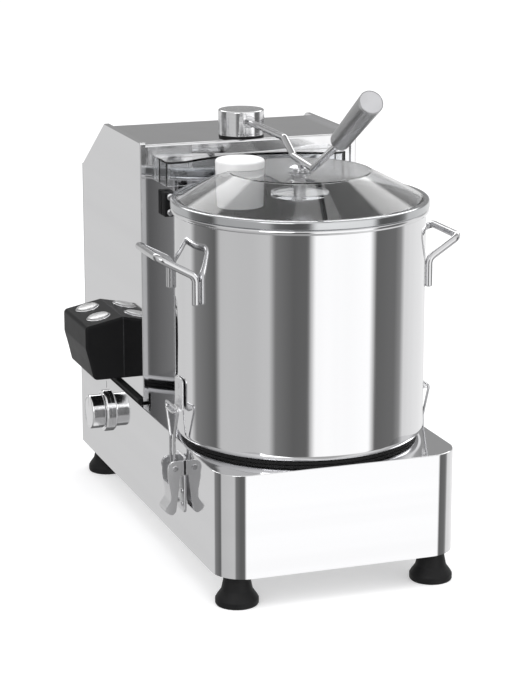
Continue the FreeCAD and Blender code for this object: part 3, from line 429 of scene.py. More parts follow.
    def cut(self, *tools: "Form") -> "Form":
        """Takes the volume of other forms out of this one.

        Args:
            tools: Closed forms to cut with.

        Returns:
            The form itself.
        """
        body = self.draft("cut_body")
        for n, tool in enumerate(tools):
            cutter = tool.draft(f"cut_tool_{n}")
            step = body.modifiers.new(f"cut_{n}", "BOOLEAN")
            step.operation = "DIFFERENCE"
            step.solver = "EXACT"
            step.object = cutter
        evaluated = body.evaluated_get(bpy.context.evaluated_depsgraph_get())
        result = bpy.data.meshes.new_from_object(evaluated)
        self.bm.clear()
        self.bm.from_mesh(result)
        bpy.data.meshes.remove(result)
        for drafted in [step.object for step in body.modifiers] + [body]:
            store = drafted.data
            bpy.data.objects.remove(drafted)
            bpy.data.meshes.remove(store)
        return self

    def draft(self, name: str) -> bpy.types.Object:
        """Makes a throwaway object of the form.

        Args:
            name: Name of the object and its mesh.

        Returns:
            The object.
        """
        mesh = bpy.data.meshes.new(name)
        self.bm.to_mesh(mesh)
        drafted = bpy.data.objects.new(name, mesh)
        bpy.context.scene.collection.objects.link(drafted)
        return drafted

    def dressed(self, name: str, finish: "Finish", *replaces: str, body: str = MACHINE, smooth: float = 34.0,
                sheet: float = 0.0) -> bpy.types.Object:
        """Makes the form a finished piece of the machine.

        Args:
            name: Name of the piece.
            finish: Its finish.
            replaces: CAD nodes that it stands for.
            body: CAD body that it moves with.
            smooth: Largest angle, in degrees, that is shaded smooth.
            sheet: Sheet thickness that an open form is given inwards.

        Returns:
            The piece's object.
        """
        bmesh.ops.remove_doubles(self.bm, verts=self.verts, dist=1e-3)
        bmesh.ops.scale(self.bm, vec=(MM, MM, MM), verts=self.verts)
        mesh = bpy.data.meshes.new(name)
        self.bm.to_mesh(mesh)
        self.bm.free()
        mesh.shade_smooth()
        mesh.set_sharp_from_angle(angle=math.radians(smooth))
        mesh.materials.append(finish.material())
        piece = bpy.data.objects.new(name, mesh)
        bpy.context.scene.collection.objects.link(piece)
        if sheet:
            wall = piece.modifiers.new("sheet", "SOLIDIFY")
            wall.thickness = sheet * MM
            wall.offset = -1.0
        flat = piece.modifiers.new("flat_faces", "WEIGHTED_NORMAL")
        flat.keep_sharp = True
        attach(piece, body)
        if replaces:
            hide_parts(*replaces)
        log.info("%s: %d faces, rides on %s", name, len(mesh.polygons), body)
        return piece


def box_form(low: Corner, high: Corner, edge: float = 0.0, segments: int = 2) -> Form:
    """Block between two corners with all its edges rounded.

    Args:
        low: Lowest corner.
        high: Highest corner.
        edge: Rounding of the edges.
        segments: Facets across each rounding.

    Returns:
        The block.
    """
    form = Form()
    size = [h - l for l, h in zip(low, high)]
    middle = [(h + l) / 2 for l, h in zip(low, high)]
    bmesh.ops.create_cube(form.bm, size=1.0, matrix=Matrix.Translation(middle) @ Matrix.Diagonal((*size, 1)))
    if edge:
        form.bevel(form.edges, edge, segments)
    return form.outward()


def hexagon_form(radius: float, start: Corner, axis: Corner, height: float, edge: float = 0.5) -> Form:
    """Hexagonal prism with chamfered corners, as a nut or bolt head.

    Args:
        radius: Half the width across flats.
        start: Middle of its foot.
        axis: Direction of its axis.
        height: Length along the axis.
        edge: Width of the chamfers.

    Returns:
        The prism.
    """
    form = Form()
    corner = radius / math.cos(math.pi / 6)
    bmesh.ops.create_cone(form.bm, cap_ends=True, segments=6, radius1=corner, radius2=corner, depth=height,
                          matrix=Matrix.Translation((0, 0, height / 2)))
    form.bevel([e for e in form.bm.edges if abs((e.verts[1].co - e.verts[0].co).z) < 1e-6], edge, 2)
    return form.placed(aimed(start, axis))


class Tree:
    """Adds and joins the nodes of one node tree."""

    def __init__(self, tree: bpy.types.NodeTree) -> None:
        """Keeps the tree."""
        self.tree = tree

    def add(self, kind: str, values: dict | None = None, **settings: object) -> bpy.types.Node:
        """Adds a node.

        Args:
            kind: Node type without its ShaderNode prefix.
            values: Socket names or numbers with a value or the socket to link.
            settings: Properties of the node.

        Returns:
            The node.
        """
        node = self.tree.nodes.new(kind if kind.startswith("Node") else "ShaderNode" + kind)
        for name, value in settings.items():
            setattr(node, name, value)
        return self.fed(node, values or {})

    def fed(self, node: bpy.types.Node, values: dict) -> bpy.types.Node:
        """Gives a node's inputs their values.

        Args:
            node: The node.
            values: Socket names or numbers with a value or the socket to link.

        Returns:
            The node itself.
        """
        for name, value in values.items():
            socket = node.inputs[name]
            if isinstance(value, bpy.types.NodeSocket):
                self.tree.links.new(value, socket)
            else:
                socket.default_value = value
        return node

    @property
    def coords(self) -> bpy.types.NodeSocket:
        """Object coordinates, from a node of their own."""
        return self.add("TexCoord").outputs["Object"]

    def math(self, operation: str, *values: object) -> bpy.types.NodeSocket:
        """Result of a Math node."""
        return self.add("Math", dict(enumerate(values)), operation=operation).outputs[0]

    def plus(self, value: object, mask: object, amount: float) -> bpy.types.NodeSocket:
        """A value raised by an amount of a mask."""
        return self.math("ADD", value, self.math("MULTIPLY", mask, amount))

    def less(self, value: object, mask: object, amount: float) -> bpy.types.NodeSocket:
        """A value lowered by an amount of a mask."""
        return self.math("SUBTRACT", value, self.math("MULTIPLY", mask, amount))

    def vector(self, operation: str, *values: object) -> bpy.types.NodeSocket:
        """Result of a Vector Math node."""
        node = self.add("VectorMath", dict(enumerate(values)), operation=operation)
        return node.outputs["Value" if operation in ("DOT_PRODUCT", "LENGTH", "DISTANCE") else "Vector"]

    def noise(self, place: object, scale: object, detail: float, **more: float) -> bpy.types.NodeSocket:
        """Noise over a place, with any other inputs of its node by name."""
        return self.add("TexNoise", {"Vector": place, "Scale": scale, "Detail": detail, **more}).outputs[0]

    def bump(self, strength: float, distance: float, height: object) -> bpy.types.NodeSocket:
        """Normal bent by a height, at most by a distance in metres."""
        return self.add("Bump", {"Strength": strength, "Distance": distance, "Height": height}).outputs[0]

    def spread(self, value: object, low: float, high: float) -> bpy.types.NodeSocket:
        """A value mapped from a range to 0 and 1, held inside it."""
        return self.add("MapRange", {0: value, 1: low, 2: high}).outputs[0]

    def mixed(self, factor: object, first: object, second: object) -> bpy.types.NodeSocket:
        """Two colours mixed by a factor."""
        return self.add("Mix", {0: factor, 6: first, 7: second}, data_type="RGBA").outputs[2]

    def ramp(self, value: object, stops: Sequence[Stop]) -> bpy.types.NodeSocket:
        """Turns a value into greys.

        Args:
            value: Value from 0 to 1.
            stops: Places on that range, each with its level.

        Returns:
            The grey.
        """
        node = self.add("ValToRGB", {0: value})
        while len(node.color_ramp.elements) < len(stops):
            node.color_ramp.elements.new(0.5)
        for element, (place, level) in zip(node.color_ramp.elements, stops):
            element.position = place
            element.color = (level, level, level, 1)
        return node.outputs[0]


@dataclass(frozen=True)
class Effect:
    """A node group that more than one finish uses, built once; each kind of effect has its own nodes."""

    name: str
    inputs: tuple[tuple[str, float], ...]
    outputs: tuple[str, ...] = ("Mask",)

    def put(self, tree: Tree, *values: object) -> bpy.types.NodeOutputs:
        """Puts the group into a material's tree.

        Args:
            tree: The material's tree.
            values: Values of the group's inputs, in their order.

        Returns:
            The outputs of the placed group.
        """
        group = bpy.data.node_groups.get(self.name)
        if not group:
            group = bpy.data.node_groups.new(self.name, "ShaderNodeTree")
            for name, value in self.inputs:
                socket = group.interface.new_socket(name=name, in_out="INPUT", socket_type="NodeSocketFloat")
                socket.default_value = value
            for name in self.outputs:
                group.interface.new_socket(name=name, in_out="OUTPUT", socket_type="NodeSocketFloat")
            t = Tree(group)
            t.add("NodeGroupOutput", dict(enumerate(self.nodes(t, t.add("NodeGroupInput").outputs))))
        return tree.add("Group", dict(enumerate(values)), node_tree=group).outputs

    def nodes(self, t: Tree, asked: bpy.types.NodeOutputs) -> tuple[bpy.types.NodeSocket, ...]:
        """Nodes inside the group.

        Args:
            t: The group's own tree.
            asked: What the group is given.

        Returns:
            What each output gets.
        """
        raise NotImplementedError


class EdgeWearAndHighlight(Effect):
    """Mask of the convex edges, broken up by noise."""

    def nodes(self, t: Tree, asked: bpy.types.NodeOutputs) -> tuple[bpy.types.NodeSocket, ...]:
        """Compares the softened with the true normal; takes and returns what Effect.nodes does."""
        soft = t.add("Bevel", {"Radius": asked["Width"]}, samples=4)
        flat = t.add("NewGeometry").outputs["Normal"]
        bent = t.math("SUBTRACT", 1.0, t.vector("DOT_PRODUCT", soft.outputs[0], flat))
        kept = t.math("SUBTRACT", 1.0, t.math("MULTIPLY", asked["Breakup"], t.noise(t.coords, 90.0, 3.0)))
        return (t.math("MULTIPLY", t.spread(bent, 0.01, 0.22), kept),)


class DrawnLines(Effect):
    """Fine lines left by rolling, drawing or brushing, stretched along one axis."""

    def nodes(self, t: Tree, asked: bpy.types.NodeOutputs) -> tuple[bpy.types.NodeSocket, ...]:
        """Stretches two noises; takes and returns what Effect.nodes does."""
        stretch = t.add("CombineXYZ", {k: asked[k] for k in range(3)}).outputs[0]
        place = t.vector("MULTIPLY", t.coords, stretch)
        fine = t.noise(place, 1.0, 4.0, Roughness=0.65)
        return t.spread(fine, 0.25, 0.75), t.spread(t.noise(place, 0.07, 2.0), 0.3, 0.7)


class TurnedLines(Effect):
    """Fine rings round an axis, as a lathe leaves them."""

    def nodes(self, t: Tree, asked: bpy.types.NodeOutputs) -> tuple[bpy.types.NodeSocket, ...]:
        """Measures radius and height from the axis; takes and returns what Effect.nodes does."""
        centre = t.add("CombineXYZ", {k: asked[k] for k in range(3)}).outputs[0]
        axis = t.add("CombineXYZ", {0: asked["Axis X"], 2: asked["Axis Z"]}).outputs[0]
        local = t.vector("SUBTRACT", t.coords, centre)
        height = t.vector("DOT_PRODUCT", local, axis)
        radius = t.vector("LENGTH", t.vector("CROSS_PRODUCT", local, axis))
        scaled = {k: t.math("MULTIPLY", length, asked["Pitch"]) for k, length in enumerate((radius, height))}
        return (t.spread(t.noise(t.add("CombineXYZ", scaled).outputs[0], 1.0, 3.0), 0.3, 0.7),)


class Handling(Effect):
    """Soft patches of wiping marks and haze."""

    def nodes(self, t: Tree, asked: bpy.types.NodeOutputs) -> tuple[bpy.types.NodeSocket, ...]:
        """Large warped noise."""
        return (t.spread(t.noise(t.coords, asked["Scale"], 5.0, Distortion=0.6), 0.45, 0.75),)


class SettledDust(Effect):
    """Thin dust on faces that look up."""

    def nodes(self, t: Tree, asked: bpy.types.NodeOutputs) -> tuple[bpy.types.NodeSocket, ...]:
        """Grain where the normal points up; takes and returns what Effect.nodes does."""
        facing = t.add("SeparateXYZ", {0: t.add("NewGeometry").outputs["Normal"]}).outputs[2]
        grain = t.spread(t.noise(t.coords, 260.0, 4.0), 0.45, 0.8)
        mask = t.math("MULTIPLY", t.spread(facing, 0.3, 1.0), grain)
        return (t.math("MULTIPLY", mask, asked["Amount"]),)


EDGE_WEAR_AND_HIGHLIGHT = EdgeWearAndHighlight("edge_wear_and_highlight", (("Width", 0.001), ("Breakup", 0.5)))
DRAWN_LINES = DrawnLines("drawn_lines", (("Across X", 400.0), ("Across Y", 400.0), ("Across Z", 8.0)),
                         ("Lines", "Broad"))
TURNED_LINES = TurnedLines("turned_lines", (("Centre X", 0.0), ("Centre Y", 0.0), ("Centre Z", 0.0),
                                            ("Axis X", 0.0), ("Axis Z", 1.0), ("Pitch", 1500.0)),
                           ("Lines",))
HANDLING = Handling("handling_marks", (("Scale", 9.0),))
SETTLED_DUST = SettledDust("settled_dust", (("Amount", 0.2),))


@dataclass(frozen=True)
class Finish:
    """What every finish has: a name, a colour, its material slot and a way to wire its own material."""

    name: str
    colour: Colour
    roughness: float = 0.3
    slot: str = ""

    def material(self) -> bpy.types.Material:
        """Finds or builds the finish's material.

        Returns:
            The material.
        """
        made = bpy.data.materials.get(self.name)
        if made:
            return made
        made = bpy.data.materials.new(self.name)
        made.use_nodes = True
        made.node_tree.nodes.clear()
        made.diffuse_color = (*self.colour, 1)
        tree = Tree(made.node_tree)
        shader = tree.add("BsdfPrincipled", {"Base Color": made.diffuse_color, "Roughness": self.roughness})
        tree.add("OutputMaterial", {"Surface": shader.outputs[0]})
        tree.fed(shader, self.wire(tree))
        return made

    def wire(self, tree: Tree) -> Wiring:
        """Adds what sets the finish apart; each kind of finish has its own.

        Args:
            tree: The material's tree.

        Returns:
            Values of the shader's inputs.
        """
        raise NotImplementedError

    def tint(self, share: float) -> tuple[float, ...]:
        """The colour made lighter or darker by a share."""
        return (*(min(1.0, c * share) for c in self.colour), 1)


@dataclass(frozen=True)
class PolishedSheet(Finish):
    """Polished stainless sheet: faint drawn lines, wiping haze, bright worn edges."""

    lines: tuple[float, float, float] = (500.0, 500.0, 6.0)
    depth: float = 0.02
    haze: float = 0.05
    wear: float = 0.0012

    def wire(self, tree: Tree) -> Wiring:
        """Drawn lines and haze in the gloss, and lighter edges; takes and returns what Finish.wire does."""
        drawn = DRAWN_LINES.put(tree, *self.lines)
        marks = HANDLING.put(tree, 7.0)[0]
        edge = EDGE_WEAR_AND_HIGHLIGHT.put(tree, self.wear, 0.5)[0]
        rough = tree.plus(self.roughness, drawn["Lines"], self.haze * 0.6)
        tone = tree.mixed(drawn["Broad"], self.tint(0.97), self.tint(1.02))
        return {"Base Color": tree.mixed(edge, tone, self.tint(1.1)),
                "Roughness": tree.plus(tree.plus(rough, marks, self.haze), edge, 0.06),
                "Metallic": 1.0, "Normal": tree.bump(self.depth, 0.0004, drawn["Lines"])}


@dataclass(frozen=True)
class TurnedMetal(Finish):
    """Metal turned on a lathe: fine rings round its axis."""

    centre: tuple[float, float, float] = (0.0, 0.0, 0.0)
    axis: tuple[float, float] = (0.0, 1.0)
    pitch: float = 1500.0
    depth: float = 0.06
    wear: float = 0.0008

    def wire(self, tree: Tree) -> Wiring:
        """Lathe rings in the gloss and in the surface; takes and returns what Finish.wire does."""
        rings = TURNED_LINES.put(tree, *(c * MM for c in self.centre), *self.axis, self.pitch)[0]
        edge = EDGE_WEAR_AND_HIGHLIGHT.put(tree, self.wear, 0.4)[0]
        marks = HANDLING.put(tree, 30.0)[0]
        tone = tree.mixed(rings, self.tint(0.95), self.tint(1.03))
        return {"Base Color": tree.mixed(edge, tone, self.tint(1.15)),
                "Roughness": tree.plus(tree.plus(self.roughness, rings, 0.07), marks, 0.05),
                "Metallic": 1.0, "Normal": tree.bump(self.depth, 0.0003, rings)}


@dataclass(frozen=True)
class CastMetal(Finish):
    """Cast or machined metal with a fine skin and cleaner edges."""

    skin: float = 900.0
    depth: float = 0.25

    def wire(self, tree: Tree) -> Wiring:
        """Speckles, dull in the hollows and bright on the edges; takes and returns what Finish.wire does."""
        speckle = tree.noise(tree.coords, self.skin, 4.0)
        edge = EDGE_WEAR_AND_HIGHLIGHT.put(tree, 0.0012, 0.6)[0]
        dust = SETTLED_DUST.put(tree, 0.25)[0]
        tone = tree.mixed(tree.spread(speckle, 0.3, 0.7), self.tint(0.88), self.tint(1.06))
        tone = tree.mixed(edge, tone, self.tint(1.25))
        return {"Base Color": tree.mixed(dust, tone, (0.4, 0.39, 0.37, 1)),
                "Roughness": tree.less(tree.plus(self.roughness, speckle, 0.15), edge, 0.12),
                "Metallic": 1.0, "Normal": tree.bump(self.depth, 0.0003, speckle)}


@dataclass(frozen=True)
class Moulded(Finish):
    """Moulded rubber or plastic with a fine grain, paler edges and a little dust; the paler edges are rubbed
    wear, and on the black case they are painted highlight lines.
    """

    grain: float = 1600.0
    depth: float = 0.3
    # edge: how much paler the edges are; rubbed wear, and at 7.0 on the black case painted highlight lines
    edge: float = 1.6
    dust: float = 0.15
    metal: float = 0.0
    gloss: float = 0.5

    def wire(self, tree: Tree) -> Wiring:
        """Grain in the surface, paler edges (rubbed wear, and painted highlight lines on the black case) and
        dust on top; takes and returns what Finish.wire does.
        """
        place = tree.coords
        cells = tree.add("TexVoronoi", {"Vector": place, "Scale": self.grain}, feature="SMOOTH_F1")
        cloud = tree.noise(place, 35.0, 4.0)
        worn_and_highlit_edges = EDGE_WEAR_AND_HIGHLIGHT.put(tree, 0.0016, 0.7)[0]
        settled = SETTLED_DUST.put(tree, self.dust)[0]
        tone = tree.mixed(tree.spread(cloud, 0.3, 0.7), self.tint(0.92), self.tint(1.08))
        # Paler edges: rubbed wear, and where edge is large, as on the black case, painted highlight lines.
        tone = tree.mixed(worn_and_highlit_edges, tone, self.tint(self.edge))
        return {"Base Color": tree.mixed(settled, tone, (0.33, 0.32, 0.31, 1)),
                "Roughness": tree.less(tree.plus(self.roughness, cloud, 0.12), worn_and_highlit_edges, 0.1),
                "Metallic": self.metal, "Specular IOR Level": self.gloss,
                "Normal": tree.bump(self.depth, 0.0002, cells.outputs["Distance"])}


@dataclass(frozen=True)
class ClearMoulding(Finish):
    """Clear polycarbonate: glassy, with faint flow marks and wiping haze."""

    haze: float = 0.05
    bend: float = 1.45
    coat: float = 0.0
    frosted: float = 0.0

    def wire(self, tree: Tree) -> Wiring:
        """Haze in the gloss and slow waves in the surface; takes and returns what Finish.wire does."""
        marks = HANDLING.put(tree, 14.0)[0]
        edge = EDGE_WEAR_AND_HIGHLIGHT.put(tree, 0.0008, 0.3)[0]
        rough = tree.plus(tree.plus(self.roughness, marks, self.haze), edge, self.frosted)
        return {"Base Color": tree.mixed(marks, self.tint(1.0), self.tint(0.97)), "Roughness": rough,
                "Transmission Weight": 1.0, "IOR": self.bend, "Coat Weight": self.coat,
                "Coat Roughness": self.roughness,
                "Normal": tree.bump(0.03, 0.0005, tree.noise(tree.coords, 25.0, 1.0))}


CASING_UPRIGHT = PolishedSheet("casing_upright", (0.80, 0.80, 0.81), 0.04, "casing_steel",
                               lines=(450.0, 450.0, 5.0), depth=0.01, haze=0.03)
CASING_FRONT = PolishedSheet("casing_lengthwise", (0.82, 0.82, 0.83), 0.04, "casing_steel",
                             lines=(5.0, 5.0, 450.0), depth=0.01, haze=0.03)
COLUMN_SIDE = PolishedSheet("column_side_polish", (0.84, 0.84, 0.85), 0.04, "casing_steel",
                            lines=(400.0, 5.0, 400.0), depth=0.01, haze=0.02)
BOWL_STEEL = PolishedSheet("bowl_polish", (0.82, 0.82, 0.83), 0.04, "bowl_steel", lines=(450.0, 450.0, 4.0),
                           depth=0.01, haze=0.03)
BRIGHT_WIRE = PolishedSheet("bright_wire", (0.68, 0.68, 0.69), 0.12, "wire_steel", lines=(900.0, 900.0, 60.0),
                            haze=0.06, wear=0.0006)
PRESSED_STEEL = PolishedSheet("pressed_latch_steel", (0.80, 0.80, 0.81), 0.30, "wire_steel",
                              lines=(700.0, 700.0, 40.0), haze=0.08, wear=0.0007)
BLADE_STEEL = PolishedSheet("ground_blade", (0.66, 0.67, 0.68), 0.2, "blade_steel",
                            lines=(60.0, 900.0, 900.0), haze=0.1, wear=0.0007)
CAP_CHROME = TurnedMetal("turned_post_cap", (0.84, 0.84, 0.85), 0.07, "chrome", centre=(0, AT.post_y, 440))
KNOB_CHROME = TurnedMetal("turned_lid_knob", (0.82, 0.82, 0.83), 0.1, "chrome", centre=(0, AT.bowl_y, 430))
DIAL_CHROME = TurnedMetal("turned_speed_knob", (0.95, 0.95, 0.96), 0.08, "chrome", centre=(-140, 176.71, 101),
                          axis=(1.0, 0.0))
SPINDLE_STEEL = TurnedMetal("turned_shafts", (0.58, 0.58, 0.59), 0.25, centre=(0, AT.bowl_y, 200))
SCREW_STEEL = CastMetal("plated_screws", (0.60, 0.60, 0.61), 0.22, "fastener_steel", skin=1400.0, depth=0.1)
HUB_METAL = TurnedMetal("machined_hub", (0.70, 0.71, 0.72), 0.2, "cast_aluminium", centre=(0, AT.bowl_y, 200),
                        pitch=1100.0, depth=0.1)
CAST_ALUMINIUM = CastMetal("cast_aluminium_skin", (0.60, 0.61, 0.62), 0.4)
BEARING_BRONZE = TurnedMetal("turned_bronze", (0.62, 0.44, 0.24), 0.25, centre=(0, AT.post_y, 400))
BUTTON_SILVER = CastMetal("satin_button_silver", (0.64, 0.64, 0.64), 0.25, "button_silver", skin=2500.0,
                          depth=0.05)
BLACK_RUBBER = Moulded("moulded_black_rubber", (0.006, 0.006, 0.0065), 0.5, "black_rubber", grain=2200.0,
                       edge=2.5, dust=0.02, gloss=0.3)
RIM_RING = PolishedSheet("glossy_rim_ring", (0.58, 0.59, 0.60), 0.1, "seal_grey", lines=(300.0, 300.0, 900.0),
                         haze=0.05, wear=0.0006)
# edge=7.0 paints highlight lines along the black case's edges.
BLACK_PLASTIC = Moulded("black_moulded_case", (0.013, 0.013, 0.0135), 0.27, "black_plastic", grain=1500.0,
                        depth=0.08, edge=7.0, dust=0.008, gloss=0.05)
GRIP_GREY = Moulded("grey_grip", (0.42, 0.42, 0.425), 0.3, "grip_grey", grain=1800.0, depth=0.12, edge=1.3,
                    dust=0.03, metal=0.9)
# Grip end: the grip's grey made paler, painted light for the end face that looks toward the lamps.
GRIP_END_PAINTED_LIGHT = Moulded("grip_end_painted_light", (0.47, 0.47, 0.48), 0.35, "grip_grey", grain=2200.0, depth=0.05, edge=1.1,
                   dust=0.02)
WHITE_PLASTIC = Moulded("white_plug_plastic", (0.93, 0.93, 0.93), 0.28, "white_plastic", grain=2600.0,
                        depth=0.03, edge=1.05, dust=0.04)
CLEAR_LID = ClearMoulding("clear_lid", (0.96, 0.965, 0.97), 0.02, "clear_plastic", bend=1.55)
CLEAR_GUARD = ClearMoulding("clear_guard", (0.95, 0.96, 0.97), 0.02, "clear_plastic", bend=1.12, coat=1.0,
                            frosted=0.6)


@dataclass
class Base:
    """Folded base shell, rubber feet and what closes it below and behind."""

    corner: float = 34.0
    sheet: float = 1.5
    floor_sheet: float = 2.0
    slip: float = 0.2
    slot_length: float = 62.0
    slot_height: float = 5.0
    slot_pitch: float = 13.0
    slots_y: float = 177.7
    bend: float = 1.0
    foot_radius: float = 22.6
    foot_neck: float = 14.2
    foot_inset: float = 24.0
    screw_inset: float = 16.0
    gland_at: tuple[float, float] = (62.0, 65.0)
    gland_bore: float = 4.5
    gland_flats: float = 12.0
    gland_ribs: int = 16

    def foot_centres(self) -> Outline:
        """Middles of the four feet in plan."""
        x = AT.half_base - self.foot_inset
        return [(sx * x, y) for y in (AT.front_y + self.foot_inset, AT.back_y - self.foot_inset)
                for sx in (-1, 1)]

    def plan(self, inset: float, back_y: float) -> Outline:
        """Outline of the base from above, with its rounded front corners.

        Args:
            inset: How far the outline lies inside the shell's outer face.
            back_y: Where the outline ends at the back.

        Returns:
            The outline's points.
        """
        x, front, corner = AT.half_base - inset, AT.front_y + inset, self.corner - inset
        return rounded([(-x, back_y), (-x, front, corner), (x, front, corner), (x, back_y)], smooth=14)

    def floor(self) -> None:
        """Tray that closes the base from below, with an upturned lip and air slots."""
        low, high = (corner.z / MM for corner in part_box("base_floor"))
        gap = self.sheet + self.slip
        form = Form.prism(self.plan(gap, AT.tray_back - self.slip), low, high - low)
        pocket = Form.prism(self.plan(gap + self.floor_sheet, AT.tray_back - self.slip - self.floor_sheet),
                            low + self.floor_sheet, high - low)
        deep, wide = self.slot_height / 2, self.slot_length / 2
        rows = [self.slots_y + k * self.slot_pitch for k in range(-3, 4)]
        slots = [box_form((-wide, y - deep, low - 1), (wide, y + deep, low + 3)) for y in rows]
        form.cut(pocket, *slots)
        form.dressed("floor_tray", CASING_FRONT, "base_floor", smooth=25)

    def shell(self) -> None:
        """Front, sides and deck folded from one sheet, with the soft bend along the top."""
        form = Form.prism(self.plan(0.0, AT.tray_back), AT.base_z, AT.deck_z - AT.base_z)
        form.round_where(lambda m, w: m.z > AT.deck_z - 0.1 and m.y < AT.tray_back - 0.1, self.bend, 5)
        gone = [f for f in form.bm.faces if f.normal.z < -0.9
                or f.calc_center_median().y > AT.tray_back - 0.1]
        bmesh.ops.delete(form.bm, geom=gone, context="FACES")
        form.dressed("base_shell", CASING_FRONT, "base_housing", smooth=25, sheet=self.sheet)

    def feet(self) -> None:
        """Trumpet shaped feet with a moulded step and a recess below."""
        r = self.foot_radius
        n = self.foot_neck
        profile = rounded([(8.5, 0.0), (r - 1.0, 0.0, 0.8), (r, 1.8, 1.2), (r, 6.6, 1.6), (r - 2.0, 9.9, 3.0),
                           (n + 2.2, 15.8, 5.0), (n, 26.4, 10.0), (n, 33.0, 0.5), (4.3, 33.0), (4.3, 8.0),
                           (8.5, 8.0)], smooth=5)
        form = Form()
        for x, y in self.foot_centres():
            form.joined(Form.turned(profile, (x, y, 0), steps=56))
        form.dressed("rubber_feet", BLACK_RUBBER, "feet")

    def screws(self) -> None:
        """Round headed hexagon socket screws of the rear cover and the lid switch."""
        head = rounded([(0, 1.8), (2.2, 1.8, 0.8), (3.8, 0.9, 0.8), (3.8, 0.0), (2.0, 0.0),
                        (2.0, -9.9, 0.4), (0, -9.9)], smooth=3)
        x = AT.half_base - self.screw_inset
        places = [((sx * x, AT.back_y, z), (0, 1, 0)) for z in (41.0, 135.0, 364.3) for sx in (-1, 1)]
        places += [((AT.switch_x, 40.01, z), (0, -1, 0)) for z in (375.5, 358.5)]
        form = Form()
        for place, way in places:
            screw = Form.turned(head, steps=24)
            screw.cut(hexagon_form(1.5, (0, 0, 0.7), (0, 0, 1), 2.0, 0.05))
            form.joined(screw.placed(aimed(place, way)))
        form.dressed("socket_screws", SCREW_STEEL, "panel_screws")

    def gland(self) -> None:
        """Cable gland with a ribbed dome nut, its bore open."""
        (x, z), bore, flats = self.gland_at, self.gland_bore, self.gland_flats
        behind, inside, back = (x, AT.back_y, z), (x, AT.tray_back - 5, z), (0, 1, 0)
        dome = rounded([(bore, 12.0), (bore + 1.4, 16.0, 0.6), (bore + 3.5, 16.0, 1.5), (10.5, 12.2, 2.0),
                        (10.5, 5.0), (bore, 5.0)], smooth=4)
        nut = Form.turned(dome, behind, back, 48)
        base = hexagon_form(flats, behind, back, 6.0, 0.8)
        base.cut(Form.turned([(0, -1), (bore, -1), (bore, 7), (0, 7)], behind, back, 48))
        thread = Form.turned([(bore, -12), (8, -12), (8, 0.5), (bore, 0.5)], behind, back, 40)
        lock = hexagon_form(flats, inside, back, 5.0, 0.8)
        lock.cut(Form.turned([(0, -1), (8, -1), (8, 6), (0, 6)], inside, back, 40))
        ribs = Form()
        upright = Matrix.Translation(behind) @ Matrix.Rotation(-math.pi / 2, 4, "X")
        for n in range(self.gland_ribs):
            rib = box_form((-0.6, 9.9, 5.6), (0.6, 10.5, 11.6), 0.25, 1)
            ribs.joined(rib.placed(upright @ Matrix.Rotation(2 * math.pi * n / self.gland_ribs, 4, "Z")))
        nut.joined(base, thread, lock, ribs)
        nut.dressed("ribbed_gland", BLACK_PLASTIC, "cable_gland")

    def build(self) -> None:
        """Builds the whole sub-assembly."""
        self.shell()
        self.floor()
        self.feet()
        self.screws()
        self.gland()


